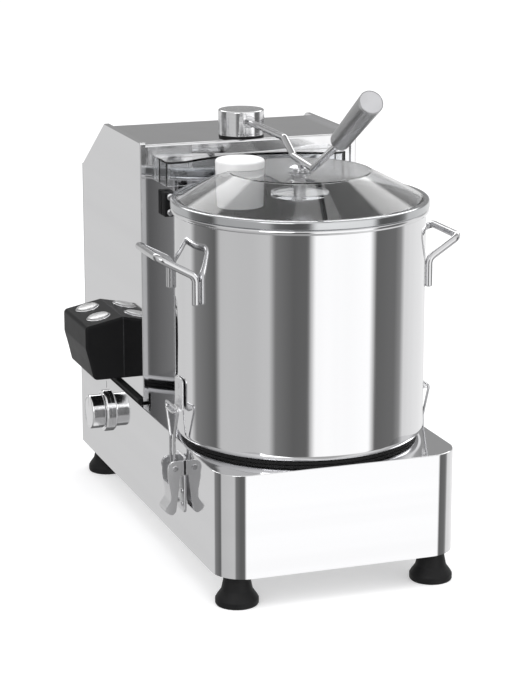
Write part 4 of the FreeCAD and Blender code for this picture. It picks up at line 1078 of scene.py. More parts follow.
@dataclass
class Column:
    """Motor column: folded cover, two side trays on rubber strips, guard and lid switch."""

    sheet: float = 1.5
    lip: float = 3.0
    lip_depth: float = 6.0
    bend: float = 2.5
    gasket_height: float = 4.0
    gasket_ledge: float = 4.4
    toe: float = 6.0
    joint: float = 2.0
    gasket_inside: float = 9.2
    guard_half: float = 104.0
    guard_depth: float = 28.0
    guard_height: float = 27.0
    guard_round: float = 154.0
    guard_wall: float = 3.0

    def cover(self) -> None:
        """Front, top and sloping back folded from one sheet."""
        slope = math.atan2(AT.column_z - AT.shoulder_z, AT.tray_back - AT.column_top_back)
        drop = self.lip * math.tan(slope / 2)
        low_z = AT.shoulder_z - self.lip * math.tan((math.pi / 2 - slope) / 2)
        low_y = AT.tray_back - self.lip
        path = [(low_y, low_z - 16), (low_y, low_z, self.bend),
                (AT.column_top_back - drop, AT.plate_z, self.bend), (AT.panel_y, AT.plate_z, self.bend),
                (AT.panel_y, AT.deck_z)]
        half = AT.half_column - self.sheet - 0.2
        form = Form.prism(rounded(thickened(path, self.sheet)), -half, 2 * half, Plane.SIDE)
        middle = AT.half_column - self.gasket_inside / 2
        notch = [box_form((s * middle - self.gasket_inside / 2 - 0.2, AT.panel_y - 1, AT.deck_z - 1),
                          (s * middle + self.gasket_inside / 2 + 0.2, AT.panel_y + 3, AT.deck_z + 10.2))
                 for s in (-1, 1)]
        form.cut(*notch)
        form.dressed("folded_cover", CASING_UPRIGHT, "column_cover", smooth=25)

    def tray(self, side: Side) -> None:
        """Side tray with its rolled lip.

        Args:
            side: Side that it closes.
        """
        foot_z = AT.deck_z + self.gasket_height
        outline = rounded([(AT.column_y, foot_z, 1.2), (AT.column_y, AT.column_z, 2.0),
                           (AT.column_top_back, AT.column_z, 2.0),
                           (AT.tray_back, AT.shoulder_z, 2.0), (AT.tray_back, foot_z, 1.2)])
        form = Form.prism(outline, -AT.half_column, self.lip_depth, Plane.SIDE)
        form.round_where(lambda m, w: m.x < -AT.half_column + 0.1, 1.3, 4)
        back = [f for f in form.bm.faces if f.normal.x > 0.9]
        bmesh.ops.inset_region(form.bm, faces=back, thickness=self.lip, use_even_offset=True)
        hollow = [f for f in form.bm.faces if f.normal.x > 0.9 and f.calc_area() > 10000]
        pushed = only(bmesh.types.BMVert, bmesh.ops.extrude_face_region(form.bm, geom=hollow)["geom"])
        bmesh.ops.translate(form.bm, vec=(self.sheet - self.lip_depth, 0, 0), verts=pushed)
        bmesh.ops.delete(form.bm, geom=hollow, context="FACES")
        form.joined(box_form((-AT.half_column, AT.column_y, AT.deck_z + self.joint),
                             (-AT.half_column + self.lip_depth, AT.column_y + self.toe, foot_z + 1.0), 0.4))
        form.on(side).dressed(f"side_tray_{side.word}", COLUMN_SIDE, f"column_side_{side.word}", smooth=25)

    def gaskets(self) -> None:
        """Rubber strips under the side trays, with a soft lip outside."""
        outer = AT.half_column + self.gasket_ledge
        front = AT.column_y + self.toe + 0.2
        section = rounded([(-outer, AT.deck_z), (-outer, AT.deck_z + self.gasket_height, 2.4),
                           (-outer + 15, AT.deck_z + self.gasket_height), (-outer + 15, AT.deck_z)])
        strip = Form.prism(section, front, AT.tray_back - front, Plane.FRONT)
        strip.round_where(lambda m, w: abs(w.y) < 0.5 and m.x < -outer + 6, 0.8, 2)
        strip.joined(strip.mirrored()).dressed("sealing_strips", BLACK_RUBBER, "column_gaskets")

    def guard(self) -> None:
        """Clear moulded guard across the column, hollowed to follow the lid."""
        front = AT.panel_y - self.guard_depth
        low = AT.rim_z + 2.0
        top = low + self.guard_height

        def plan(inset: float) -> Outline:
            """Outline from above.

            Args:
                inset: How far the outline lies inside the outer face.

            Returns:
                The outline's points, from the left wing to the right.
            """
            r, h, deep = self.guard_round + inset, self.guard_half - inset, front + inset
            reach = math.degrees(math.acos((deep - AT.bowl_y) / r))
            curve = arc((0, AT.bowl_y), r, 90 + reach, 90 - reach, 28)
            behind = AT.panel_y + (1 if inset else 0)
            left = rounded([(-h, AT.panel_y), (-h, deep, 3.0), curve[0]])[1:-1]
            right = rounded([curve[-1], (h, deep, 3.0), (h, AT.panel_y)])[1:-1]
            return [(-h, behind), *left, *curve, *right, (h, behind)]

        form = Form.prism(plan(0.0), low, self.guard_height)
        form.cut(Form.prism(plan(self.guard_wall), low - 1, self.guard_height + 1 - self.guard_wall))
        form.round_where(lambda m, w: m.z > top - 0.05 and m.y < AT.panel_y - 0.5, 0.8, 2)
        form.dressed("clear_shield", CLEAR_GUARD, "lid_guard")

    def switch(self) -> None:
        """Black safety switch behind the lid's edge."""
        x, top = AT.switch_x, AT.rim_z - 7.5
        form = box_form((x - 6.5, AT.panel_y - 12, top - 27), (x + 6.5, AT.panel_y, top), 1.2, 3)
        form.dressed("safety_switch", BLACK_PLASTIC, "lid_switch")

    def build(self) -> None:
        """Builds the whole sub-assembly."""
        self.cover()
        for side in Side:
            self.tray(side)
        self.gaskets()
        self.guard()
        self.switch()


@dataclass
class Bowl:
    """Deep drawn bowl with its seat, handles and hook plates."""

    radius: float = 131.6
    wall: float = 1.5
    corner: float = 8.0
    bead: float = 3.0
    chimney: float = 18.5
    chimney_top: float = 223.5
    rod: float = 4.0
    spread: float = 43.0
    bar_half: float = 35.5
    reach: float = 34.4
    leg: float = 30.0
    slope: float = 20.0
    drop: float = 38.0
    bend: float = 9.0
    weld_gap: float = 0.2
    catch_z: float = 181.0
    catch_half: float = 12.0
    catch_face: float = 2.8
    foot_drop: float = 1.8
    ring_inset: float = 6.0

    def drawn(self) -> None:
        """The bowl itself, with a rolled rim and a chimney for the spindle."""
        r, w, c = self.radius, self.wall, self.corner
        bead = arc((r, AT.rim_z - self.bead), self.bead, -90, 90, 10)
        low = AT.bowl_z - self.foot_drop
        foot = rounded([(0, AT.bowl_z), (r - 20, AT.bowl_z), (r - 19, low), (r, low, c), (r, AT.rim_z)], 10)
        path = ([(self.chimney - w, AT.bowl_z)] + foot[1:-1]
                + bead + [(r - w, AT.rim_z)]
                + rounded([(r - w, AT.rim_z), (r - w, AT.bowl_z + w, c - w),
                           (self.chimney, AT.bowl_z + w, 4.0),
                           (self.chimney, self.chimney_top, 0.7), (self.chimney - w, self.chimney_top, 0.6),
                           (self.chimney - w, AT.bowl_z)], 8)[1:-1])
        form = Form.turned(path, (0, AT.bowl_y, 0), steps=192)
        form.dressed("drawn_bowl", BOWL_STEEL, "bowl", smooth=40)

    def seat(self) -> None:
        """Black ring that the bowl stands on."""
        outer, top = self.radius - self.ring_inset, AT.bowl_z - self.foot_drop
        section = rounded([(outer - 12, AT.deck_z), (outer, AT.deck_z, 0.8), (outer, top, 0.8),
                           (outer - 12, top)])
        form = Form.turned(section, (0, AT.bowl_y, 0), steps=160)
        form.dressed("seat_ring", BLACK_RUBBER, "bowl_seat_ring")

    def handle(self, side: Side) -> None:
        """Bent rod with rounded ends, welded to the wall along both legs.

        Args:
            side: Side of the bowl.
        """
        leg_x = -math.sqrt((self.radius + self.weld_gap + self.rod) ** 2 - self.spread ** 2)
        bar_x = -(self.radius + self.reach)
        top = AT.rim_z - self.drop
        bend_z = top - self.slope
        foot_z = bend_z - self.leg
        y = AT.bowl_y
        line = [(leg_x, y - self.spread, foot_z), (leg_x, y - self.spread, bend_z),
                (bar_x, y - self.bar_half, top), (bar_x, y + self.bar_half, top),
                (leg_x, y + self.spread, bend_z), (leg_x, y + self.spread, foot_z)]
        form = Form.rod(line, self.bend, self.rod, 1.6, 28)
        lean = math.asin(self.spread / (self.radius + self.rod + self.weld_gap))
        for end in (-1, 1):
            for offset in (-1, 1):
                turn = end * lean + offset * 0.0155
                d = self.radius + 0.7
                x, dy = -d * math.cos(turn), d * math.sin(turn)
                form.joined(Form.rod([(x, y + dy, foot_z + 3), (x, y + dy, bend_z - 6)], 1, 0.9, 0.5, 10))
        form.on(side).dressed(f"welded_handle_{side.word}", BRIGHT_WIRE, f"bowl_handle_{side.word}")

    def catches(self) -> None:
        """Hook plates, bent out at the foot, with two weld dimples each."""
        r, z, half = self.radius, self.catch_z, self.catch_half
        face = -r - self.catch_face
        path = [(face, z + 33), (face, z, 3.4), (-r - 14.0, z)]
        form = Form.prism(rounded(thickened(path, 2.0)), AT.bowl_y - half, 2 * half, Plane.FRONT)
        form.round_where(lambda m, w: abs(w.x) > 0.9 and m.z > z + 30, 6.0, 5)
        form.round_where(lambda m, w: abs(w.z) > 0.9 and m.x < -r - 13, 2.5, 4)
        form.round_where(lambda m, w: True, 0.35, 2, 0.9)
        for height in (12.0, 24.0):
            dimple = Form.turned(rounded([(0, 0.35), (2.6, 0.35, 0.3), (2.9, 0.0), (0, 0)], 3),
                                 (face, AT.bowl_y, z + height), (-1, 0, 0), 24)
            form.joined(dimple)
        form.joined(form.mirrored()).dressed("hook_plates", PRESSED_STEEL, "bowl_catches")

    def build(self) -> None:
        """Builds the whole sub-assembly."""
        self.drawn()
        self.seat()
        for side in Side:
            self.handle(side)
        self.catches()


@dataclass
class Latch:
    """Toggle latch of one side: base plate, lever and wire bail."""

    side: Side
    pivot_x: float = 142.5
    pivot_z: float = 118.7
    crank_z: float = 105.7
    crank_x: float = 141.5
    length: float = 52.0
    half_width: float = 13.0
    sheet: float = 1.5
    ear: float = 8.0
    wire: float = 1.5
    neck: float = 6.3
    bar_half: float = 21.0
    bail_z: float = 184.8
    plate_height: float = 62.0
    rivet_zs: tuple[float, float] = (78.0, 92.0)
    rivet_y: float = 7.0

    @property
    def cheek_half(self) -> float:
        """Half width over the lever's cheeks."""
        return self.half_width - self.sheet - 0.5

    def lever(self) -> None:
        """Pressed S shaped lever with two cheeks and a curled tail."""
        half, t, x, z = self.cheek_half, self.sheet, -self.pivot_x, self.pivot_z
        low = z - self.length
        r = self.ear - 0.5
        head = arc((x, z), r, 90, 180, 8)
        tail = [head[-1], (x - 7.5, self.crank_z + 2, 6.0), (x - 4.5, self.crank_z - 14, 10.0),
                (x - 4.5, low + 17, 6.0), (x - 11.2, low + 7.5, 3.2), (x - 9.0, low + 3.2, 1.6),
                (x - 3, low, 3.0), (x + 1, low + 4, 3.0), (x + 3, low + 18, 8.0),
                (x + 5.5, self.crank_z, 8.0), (x + r, z)]
        outline = head + rounded(tail, 5)[1:] + arc((x, z), r, 0, 90, 8)[1:-1]
        form = Form.prism(outline, AT.bowl_y - half, 2 * half, Plane.FRONT)
        hollow = [(x - 12, z + 10), (x - 12, self.crank_z - 4.5), (x - 4.5 + t, self.crank_z - 4.5, 1.0),
                  (x - 4.5 + t, low + 19, 4.0), (x - 7.2, low + 9.5, 1.0), (x - 4, low + 4.5, 1.0),
                  (x + 8, low + 4.5), (x + 12, z + 10)]
        form.cut(Form.prism(rounded(hollow), AT.bowl_y - half + t, 2 * (half - t), Plane.FRONT))
        form.round_where(lambda m, w: m.x < x - 3 and abs(abs(m.y - AT.bowl_y) - half) < 0.05, 1.0, 3, 0.9)
        form.on(self.side).dressed(f"pressed_lever_{self.side.word}", PRESSED_STEEL,
                                   f"latch_lever_{self.side.word}", body=f"{self.side.word}_lever")

    def bail(self) -> None:
        """Bent wire loop from the lever up to the hook plate."""
        foot = self.cheek_half - 0.3
        neck_z = self.crank_z + 44.0
        line = []
        for s in (-1, 1):
            leg = [(-self.crank_x, AT.bowl_y + s * y, z)
                   for y, z in ((foot, self.crank_z), (self.neck, self.crank_z), (self.neck, neck_z),
                                (self.bar_half, self.bail_z))]
            line += leg if s < 0 else leg[::-1]
        form = Form.rod(line, 2 * self.wire, self.wire, 0.4, 16)
        form.on(self.side).dressed(f"wire_bail_{self.side.word}", BRIGHT_WIRE, f"latch_bail_{self.side.word}",
                                   body=f"{self.side.word}_bail")

    def plate(self) -> Form:
        """Base plate with its two rounded ears and four rivet heads, drawn on the left.

        Returns:
            The plate's form.
        """
        top = AT.deck_z - 12.0
        low, face, half = top - self.plate_height, -AT.half_base, self.half_width
        near, far = AT.bowl_y - half, AT.bowl_y + half
        outline = rounded([(near, low, 4.0), (far, low, 4.0), (far, top, 2.0), (near, top, 2.0)])
        form = Form.prism(outline, face - self.sheet, self.sheet, Plane.SIDE)
        form.round_where(lambda m, w: m.x < face - 1, 0.5, 2, 0.9)
        for y in (near, far - self.sheet):
            curve = arc((-self.pivot_x, self.pivot_z), self.ear, 90, 270, 14)
            outline = [(face, self.pivot_z + self.ear)] + curve + [(face, self.pivot_z - self.ear)]
            ear = Form.prism(outline, y, self.sheet, Plane.FRONT)
            ear.cut(Form.turned([(0, -1), (2.0, -1), (2.0, 3), (0, 3)], (-self.pivot_x, y, self.pivot_z),
                                (0, 1, 0), 24))
            form.joined(ear.round_where(lambda m, w: m.x < face - 2, 0.3, 2, 0.9))
        for z in self.rivet_zs:
            for y in (-self.rivet_y, self.rivet_y):
                form.joined(Form.turned(rounded([(0, 1.0), (2.4, 1.0, 0.9), (2.7, 0.0), (0, 0)], 3),
                                        (face - self.sheet, AT.bowl_y + y, z), (-1, 0, 0), 20))
        return form

    def pins(self) -> Form:
        """Headed pivot rivets through the ears, drawn on the left.

        Returns:
            The two rivets' form.
        """
        form = Form()
        reach = self.half_width - self.cheek_half + self.sheet + 0.2
        for end in (-1, 1):
            profile = rounded([(0, 1.0), (3.2, 1.0, 0.8), (3.2, 0.0), (2.0, 0.0), (2.0, -reach),
                               (0, -reach)], 4)
            form.joined(Form.turned(profile, (-self.pivot_x, AT.bowl_y + end * self.half_width, self.pivot_z),
                                    (0, end, 0), 28))
        return form

    def build(self) -> None:
        """Builds the moving pieces of this side, and on the left also the fixed ones of both."""
        self.lever()
        self.bail()
        if self.side is Side.LEFT:
            plate, pins = self.plate(), self.pins()
            plate.joined(plate.mirrored()).dressed("latch_base_plates", PRESSED_STEEL, "latch_plates")
            pins.joined(pins.mirrored()).dressed("latch_rivets", SCREW_STEEL, "latch_pins")


@dataclass
class Lid:
    """Clear lid with its rim ring, knob, inner disc and feed plug."""

    radius: float = 135.0
    ring_width: float = 6.0
    flat: float = 74.0
    wall: float = 3.0
    plug_x: float = -52.9
    plug_y: float = -69.29
    plug_radius: float = 26.0
    plug_top: float = 433.5
    plug_length: float = 52.0
    plug_taper: float = 1.6
    opening_gap: float = 0.3
    opening_depth: float = 46.0
    disc_radius: float = 30.5
    bolt_bore: float = 4.05

    def shell(self) -> None:
        """Clear cone with a flat top and the round feed opening."""
        edge = self.radius - self.ring_width
        low = AT.rim_z + 2.0
        top, inside, bore = AT.lid_top_z, edge - self.wall, self.bolt_bore
        path = rounded([(edge, low), (edge, AT.lid_edge_z, 1.2), (self.flat, top, 3.0), (bore, top),
                        (bore, top - self.wall), (self.flat - 0.7, top - self.wall, 2.0),
                        (inside, AT.lid_edge_z - 2.2, 1.0), (inside, low)])
        form = Form.turned(path, (0, AT.bowl_y, 0), steps=160)
        form.cut(self.opening())
        form.dressed("clear_lid_cone", CLEAR_LID, "lid_shell")

    def opening(self) -> Form:
        """Tapered round form of the feed opening, a little wider than the plug.

        Returns:
            The form that cuts it.
        """
        r, top = self.plug_radius + self.opening_gap, self.plug_top
        low = top - self.opening_depth
        profile = rounded([(0, top), (r, top, 0.1), (r - self.plug_taper, low), (0, low)], 8)
        return Form.turned(profile, (self.plug_x, self.plug_y, 0), steps=80)

    def plug(self) -> None:
        """White feed plug with a shallow moulded ring on its top."""
        top = self.plug_top
        r = self.plug_radius
        low = top - self.plug_length
        profile = rounded([(0, top - 0.6), (r - 6.5, top - 0.6, 0.4), (r - 5.9, top, 0.5), (r, top, 3.0),
                           (r - self.plug_taper, low, 0.8), (0, low)], 8)
        form = Form.turned(profile, (self.plug_x, self.plug_y, 0), steps=96)
        form.dressed("white_plug", WHITE_PLASTIC, "feed_plug", body="feed_plug")

    def ring(self) -> None:
        """Soft ring round the lid's edge that rests on the bowl."""
        outer = self.radius
        edge = outer - self.ring_width
        section = rounded([(edge - 7, AT.rim_z), (outer, AT.rim_z, 0.8), (outer, AT.lid_edge_z, 2.2),
                           (edge, AT.lid_edge_z, 0.6), (edge, AT.rim_z + 2), (edge - 7, AT.rim_z + 2)])
        Form.turned(section, (0, AT.bowl_y, 0), steps=160).dressed("lid_seal", RIM_RING, "lid_rim_ring")

    def knob(self) -> None:
        """Turned knob that the arm presses on."""
        low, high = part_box("lid_knob")
        base, top = low.z / MM, high.z / MM
        profile = rounded([(0, base), (7.6, base, 0.3), (7.6, base + 2.2, 0.8), (12.3, base + 2.5, 0.4),
                           (12.3, base + 3.2, 0.4), (5.6, top, 0.6), (0, top)], 5)
        Form.turned(profile, (0, AT.bowl_y, 0), steps=72).dressed("turned_knob", KNOB_CHROME, "lid_knob")

    def disc(self) -> None:
        """Clear disc under the lid with a raised edge and one tab."""
        top = AT.lid_top_z - 25.5
        low = top - 3.0
        r = self.disc_radius
        profile = rounded([(0, low), (r, low, 0.8), (r, top + 1.2, 0.8), (r - 2, top + 1.2, 0.5),
                           (r - 2, top, 0.5), (0, top)], 4)
        form = Form.turned(profile, (0, AT.bowl_y, 0), steps=96)
        tab = box_form((-r * 0.62, AT.bowl_y - r - 4, low), (-r * 0.3, AT.bowl_y - r + 5, top), 0.6)
        form.joined(tab).dressed("hung_disc", CLEAR_GUARD, "lid_disc")

    def build(self) -> None:
        """Builds the whole sub-assembly."""
        self.shell()
        self.plug()
        self.ring()
        self.knob()
        self.disc()


@dataclass
class Arm:
    """Swing arm that locks the lid: cap, bent bar and grip."""

    cap_radius: float = 25.6
    cap_height: float = 27.3
    cap_gap: float = 2.5
    rod: float = 3.8
    run: float = 138.0
    dip: tuple[float, float] = (166.0, 15.2)
    knee: tuple[float, float] = (222.0, 18.6)
    grip_at: tuple[float, float] = (292.0, 37.1)
    grip_seat: float = 9.0
    grip_bore: float = 0.6
    grip_tilt: float = 32.2
    grip_length: float = 98.15
    grip_radius: float = 12.25
    grip_neck: float = 10.2

    def cap(self) -> None:
        """Polished cap over the post, with a fine groove near its foot."""
        low = AT.plate_z + self.cap_gap
        r, top = self.cap_radius, low + self.cap_height
        profile = rounded([(0, low), (r, low, 0.4), (r, low + 2.4), (r - 0.5, low + 2.7),
                           (r - 0.5, low + 3.1), (r, low + 3.4), (r, top, 1.6), (0, top)], 6)
        form = Form.turned(profile, (0, AT.post_y, 0), steps=128)
        form.cut(Form.turned([(0, 0), (self.rod, 0), (self.rod, 24), (0, 24)], (0, AT.post_y - 12, AT.arm_z),
                             (0, -1, 0), 32))
        form.dressed("polished_cap", CAP_CHROME, "post_cap", body="arm")

    def seal(self) -> None:
        """Thin black ring between the cap and the column."""
        section = rounded([(10, AT.plate_z), (25, AT.plate_z, 0.4), (25, AT.plate_z + 2.2, 0.6),
                           (10, AT.plate_z + 2.2)], smooth=4)
        Form.turned(section, (0, AT.post_y, 0), steps=96).dressed("cap_seal", BLACK_RUBBER, "post_ring")

    def line(self) -> list[Vector]:
        """Middle line of the bar, from inside the cap to inside the grip.

        Returns:
            Its corners.
        """
        (dip_out, dip), (knee_out, drop), (out, rise) = self.dip, self.knee, self.grip_at
        grip, way = Vector((0, AT.post_y - out, AT.arm_z - drop + rise)), self.grip_way()
        bends = ((self.cap_radius - 8, 0), (self.run, 0), (dip_out, dip), (knee_out, drop))
        return [*(Vector((0, AT.post_y - along, AT.arm_z - down)) for along, down in bends),
                grip - way * self.grip_seat, grip + way * (self.grip_length * self.grip_bore)]

    def grip_way(self) -> Vector:
        """Direction of the grip, out and up."""
        tilt = math.radians(self.grip_tilt)
        return Vector((0, -math.cos(tilt), math.sin(tilt)))

    def bar(self) -> None:
        """Bent round bar with the collar that seats it in the cap."""
        form = Form.rod(self.line(), 1.4 * self.rod, self.rod, 0.6, 28)
        collar = rounded([(self.rod, 0.3), (6.7, 0.3, 0.3), (6.7, 3.6, 0.8), (self.rod, 3.6)], smooth=4)
        form.joined(Form.turned(collar, (0, AT.post_y - self.cap_radius + 0.6, AT.arm_z), (0, -1, 0), 40))
        form.dressed("bent_arm", BRIGHT_WIRE, "arm_bar", body="arm")

    def grip(self) -> None:
        """Tapered grip with a turned neck, a fine moulding line and a flat end."""
        n, w, length = self.grip_neck, self.grip_radius, self.grip_length
        profile = rounded([(self.rod, 0), (n - 3.2, 0, 1.2), (n, 5.0, 5.0), (w - 0.05, length - 2.4),
                           (w - 0.3, length - 2.2), (w - 0.3, length - 1.9), (w, length - 1.7),
                           (w, length, 0.5), (w - 0.7, length, 0.2), (w - 0.7, length - 0.5),
                           (0, length - 0.5)], 6)
        profile += [(0, length * self.grip_bore), (self.rod, length * self.grip_bore)]
        form = Form.turned(profile, steps=96)
        disc = Form.turned(rounded([(0, length - 0.1), (w - 0.9, length - 0.1, 0.3), (w - 0.9, length - 0.45),
                                    (0, length - 0.45)], 3), steps=96)
        start = self.line()[4] + self.grip_way() * self.grip_seat
        seat = aimed(start, self.grip_way())
        form.placed(seat).dressed("tapered_grip", GRIP_GREY, "arm_grip", body="arm")
        # The end disc's paler grey is painted light on the face toward the lamps.
        disc.placed(seat).dressed("grip_end_disc", GRIP_END_PAINTED_LIGHT, body="arm")

    def build(self) -> None:
        """Builds the whole sub-assembly."""
        self.cap()
        self.seal()
        self.bar()
        self.grip()


@dataclass
class Controls:
    """Push button box on the column and the speed selector on the base."""

    depth: float = 44.2
    length: float = 98.0
    low: float = 152.5
    top: float = 224.5
    front: float = 123.71
    fall: float = 9.1
    wall: float = 2.5
    button_radius: float = 12.0
    button_ys: tuple[float, float] = (149.21, 196.21)
    selector_y: float = 176.71
    selector_z: float = 101.0
    knob_foot: float = 6.3
    hole_gap: float = 0.3

    def normal(self) -> Vector:
        """Outward normal of the sloping top."""
        tilt = math.atan2(self.fall, self.depth)
        return Vector((-math.sin(tilt), 0, math.cos(tilt)))

    def seat(self, y: float) -> Matrix:
        """Placement of a button, its axis along the top's normal."""
        return aimed((-AT.half_column - self.depth / 2, y, self.top - self.fall / 2), self.normal())

    def outline(self, inset: float, corner: float) -> Outline:
        """Section of the box.

        Args:
            inset: How far it lies inside the outer face.
            corner: Radius of its outer corners.

        Returns:
            The section's points.
        """
        wall = -AT.half_column
        outer = wall - self.depth
        slope = math.atan2(self.fall, self.depth)
        drop = inset / math.cos(slope)
        outer_top = self.top - self.fall - drop + inset * math.tan(slope)
        height = self.top - self.low
        return rounded([(wall, self.low + inset), (outer + 9 + inset, self.low + inset, corner * 1.2),
                        (outer + 4.5 + inset, self.low + height * 0.28, 20.0),
                        (outer + inset, self.low + height * 0.52, 12.0),
                        (outer + inset, outer_top, corner), (wall, self.top - drop)], smooth=8)

    def case(self) -> None:
        """Moulded case with soft edges and two button holes."""
        form = Form.prism(self.outline(0.0, 5.0), self.front, self.length, Plane.FRONT)
        form.round_where(lambda m, w: (m.y < self.front + 0.05 or m.y > self.front + self.length - 0.05)
                         and m.x < -AT.half_column - 0.05, 3.2, 5)
        inner = Form.prism(self.outline(self.wall, 3.0), self.front + self.wall, self.length - 2 * self.wall,
                           Plane.FRONT)
        inner.moved(0.6, 0, 0)
        r = self.button_radius + self.hole_gap
        holes = [Form.turned([(0, -8), (r, -8), (r, 8), (0, 8)], steps=64).placed(self.seat(y))
                 for y in self.button_ys]
        form.cut(inner, *holes).dressed("moulded_case", BLACK_PLASTIC, "control_box")

    def buttons(self) -> None:
        """Domed buttons and their bezels."""
        r = self.button_radius
        bezels = Form()
        ring = rounded([(r + 0.3, 0), (r + 2.0, 0, 0.1), (r + 2.0, 1.2, 0.7), (r + 0.3, 1.2, 0.5)], smooth=4)
        dome = (121 + 0.49) / 1.4
        crown = arc((0, 3.3 - dome), dome, 90, 90 - math.degrees(math.asin(9.4 / dome)), 8)
        profile = crown + rounded([crown[-1], (10.1, 2.5, 0.5), (10.5, 2.9, 0.4), (r, 2.5, 0.9), (r, -5.0),
                                   (4.0, -5.0), (4.0, -14.0), (0, -14.0)], 4)[1:]
        for y, name in zip(self.button_ys, ("stop", "start")):
            bezels.joined(Form.turned(ring, steps=72).placed(self.seat(y)))
            cap = Form.turned(profile, steps=72).placed(self.seat(y))
            cap.dressed(f"domed_{name}_button", BUTTON_SILVER, f"{name}_button", body=f"{name}_button")
        bezels.dressed("button_rings", CAP_CHROME, "button_bezels")

    def selector(self) -> None:
        """Speed knob with a bevelled face and pointer, over its flange ring."""
        wall = AT.half_base
        place = (-wall, self.selector_y, self.selector_z)
        ring = rounded([(4.2, 0), (24.4, 0, 0.2), (24.4, 4.2, 0.4), (23.2, 6.0, 0.8), (20.6, 6.0, 0.3),
                        (20.2, 5.4), (4.2, 5.4)], smooth=5)
        Form.turned(ring, place, (-1, 0, 0), 112).dressed("knob_flange", DIAL_CHROME, "selector_ring")
        low = self.knob_foot
        profile = rounded([(4.0, low), (19.2, low, 0.3), (19.8, low + 1.4, 0.4), (19.8, low + 16, 1.8),
                           (17.0, low + 16, 0.2), (16.6, low + 15.6, 0.2), (0, low + 15.6), (0, low + 8),
                           (4.0, low + 8)], smooth=5)
        knob = Form.turned(profile, place, (-1, 0, 0), 112)
        mark = box_form((-wall - low - 17, self.selector_y - 0.8, self.selector_z + 6.9),
                        (-wall - low - 15, self.selector_y + 0.8, self.selector_z + 21))
        knob.cut(mark).dressed("pointer_knob", DIAL_CHROME, "selector_knob", body="selector")
        index = box_form((-wall - 0.06, self.selector_y - 0.5, self.selector_z + 27),
                         (-wall, self.selector_y + 0.5, self.selector_z + 35))
        index.dressed("speed_index", BLACK_PLASTIC)

    def build(self) -> None:
        """Builds the whole sub-assembly."""
        self.case()
        self.buttons()
        self.selector()


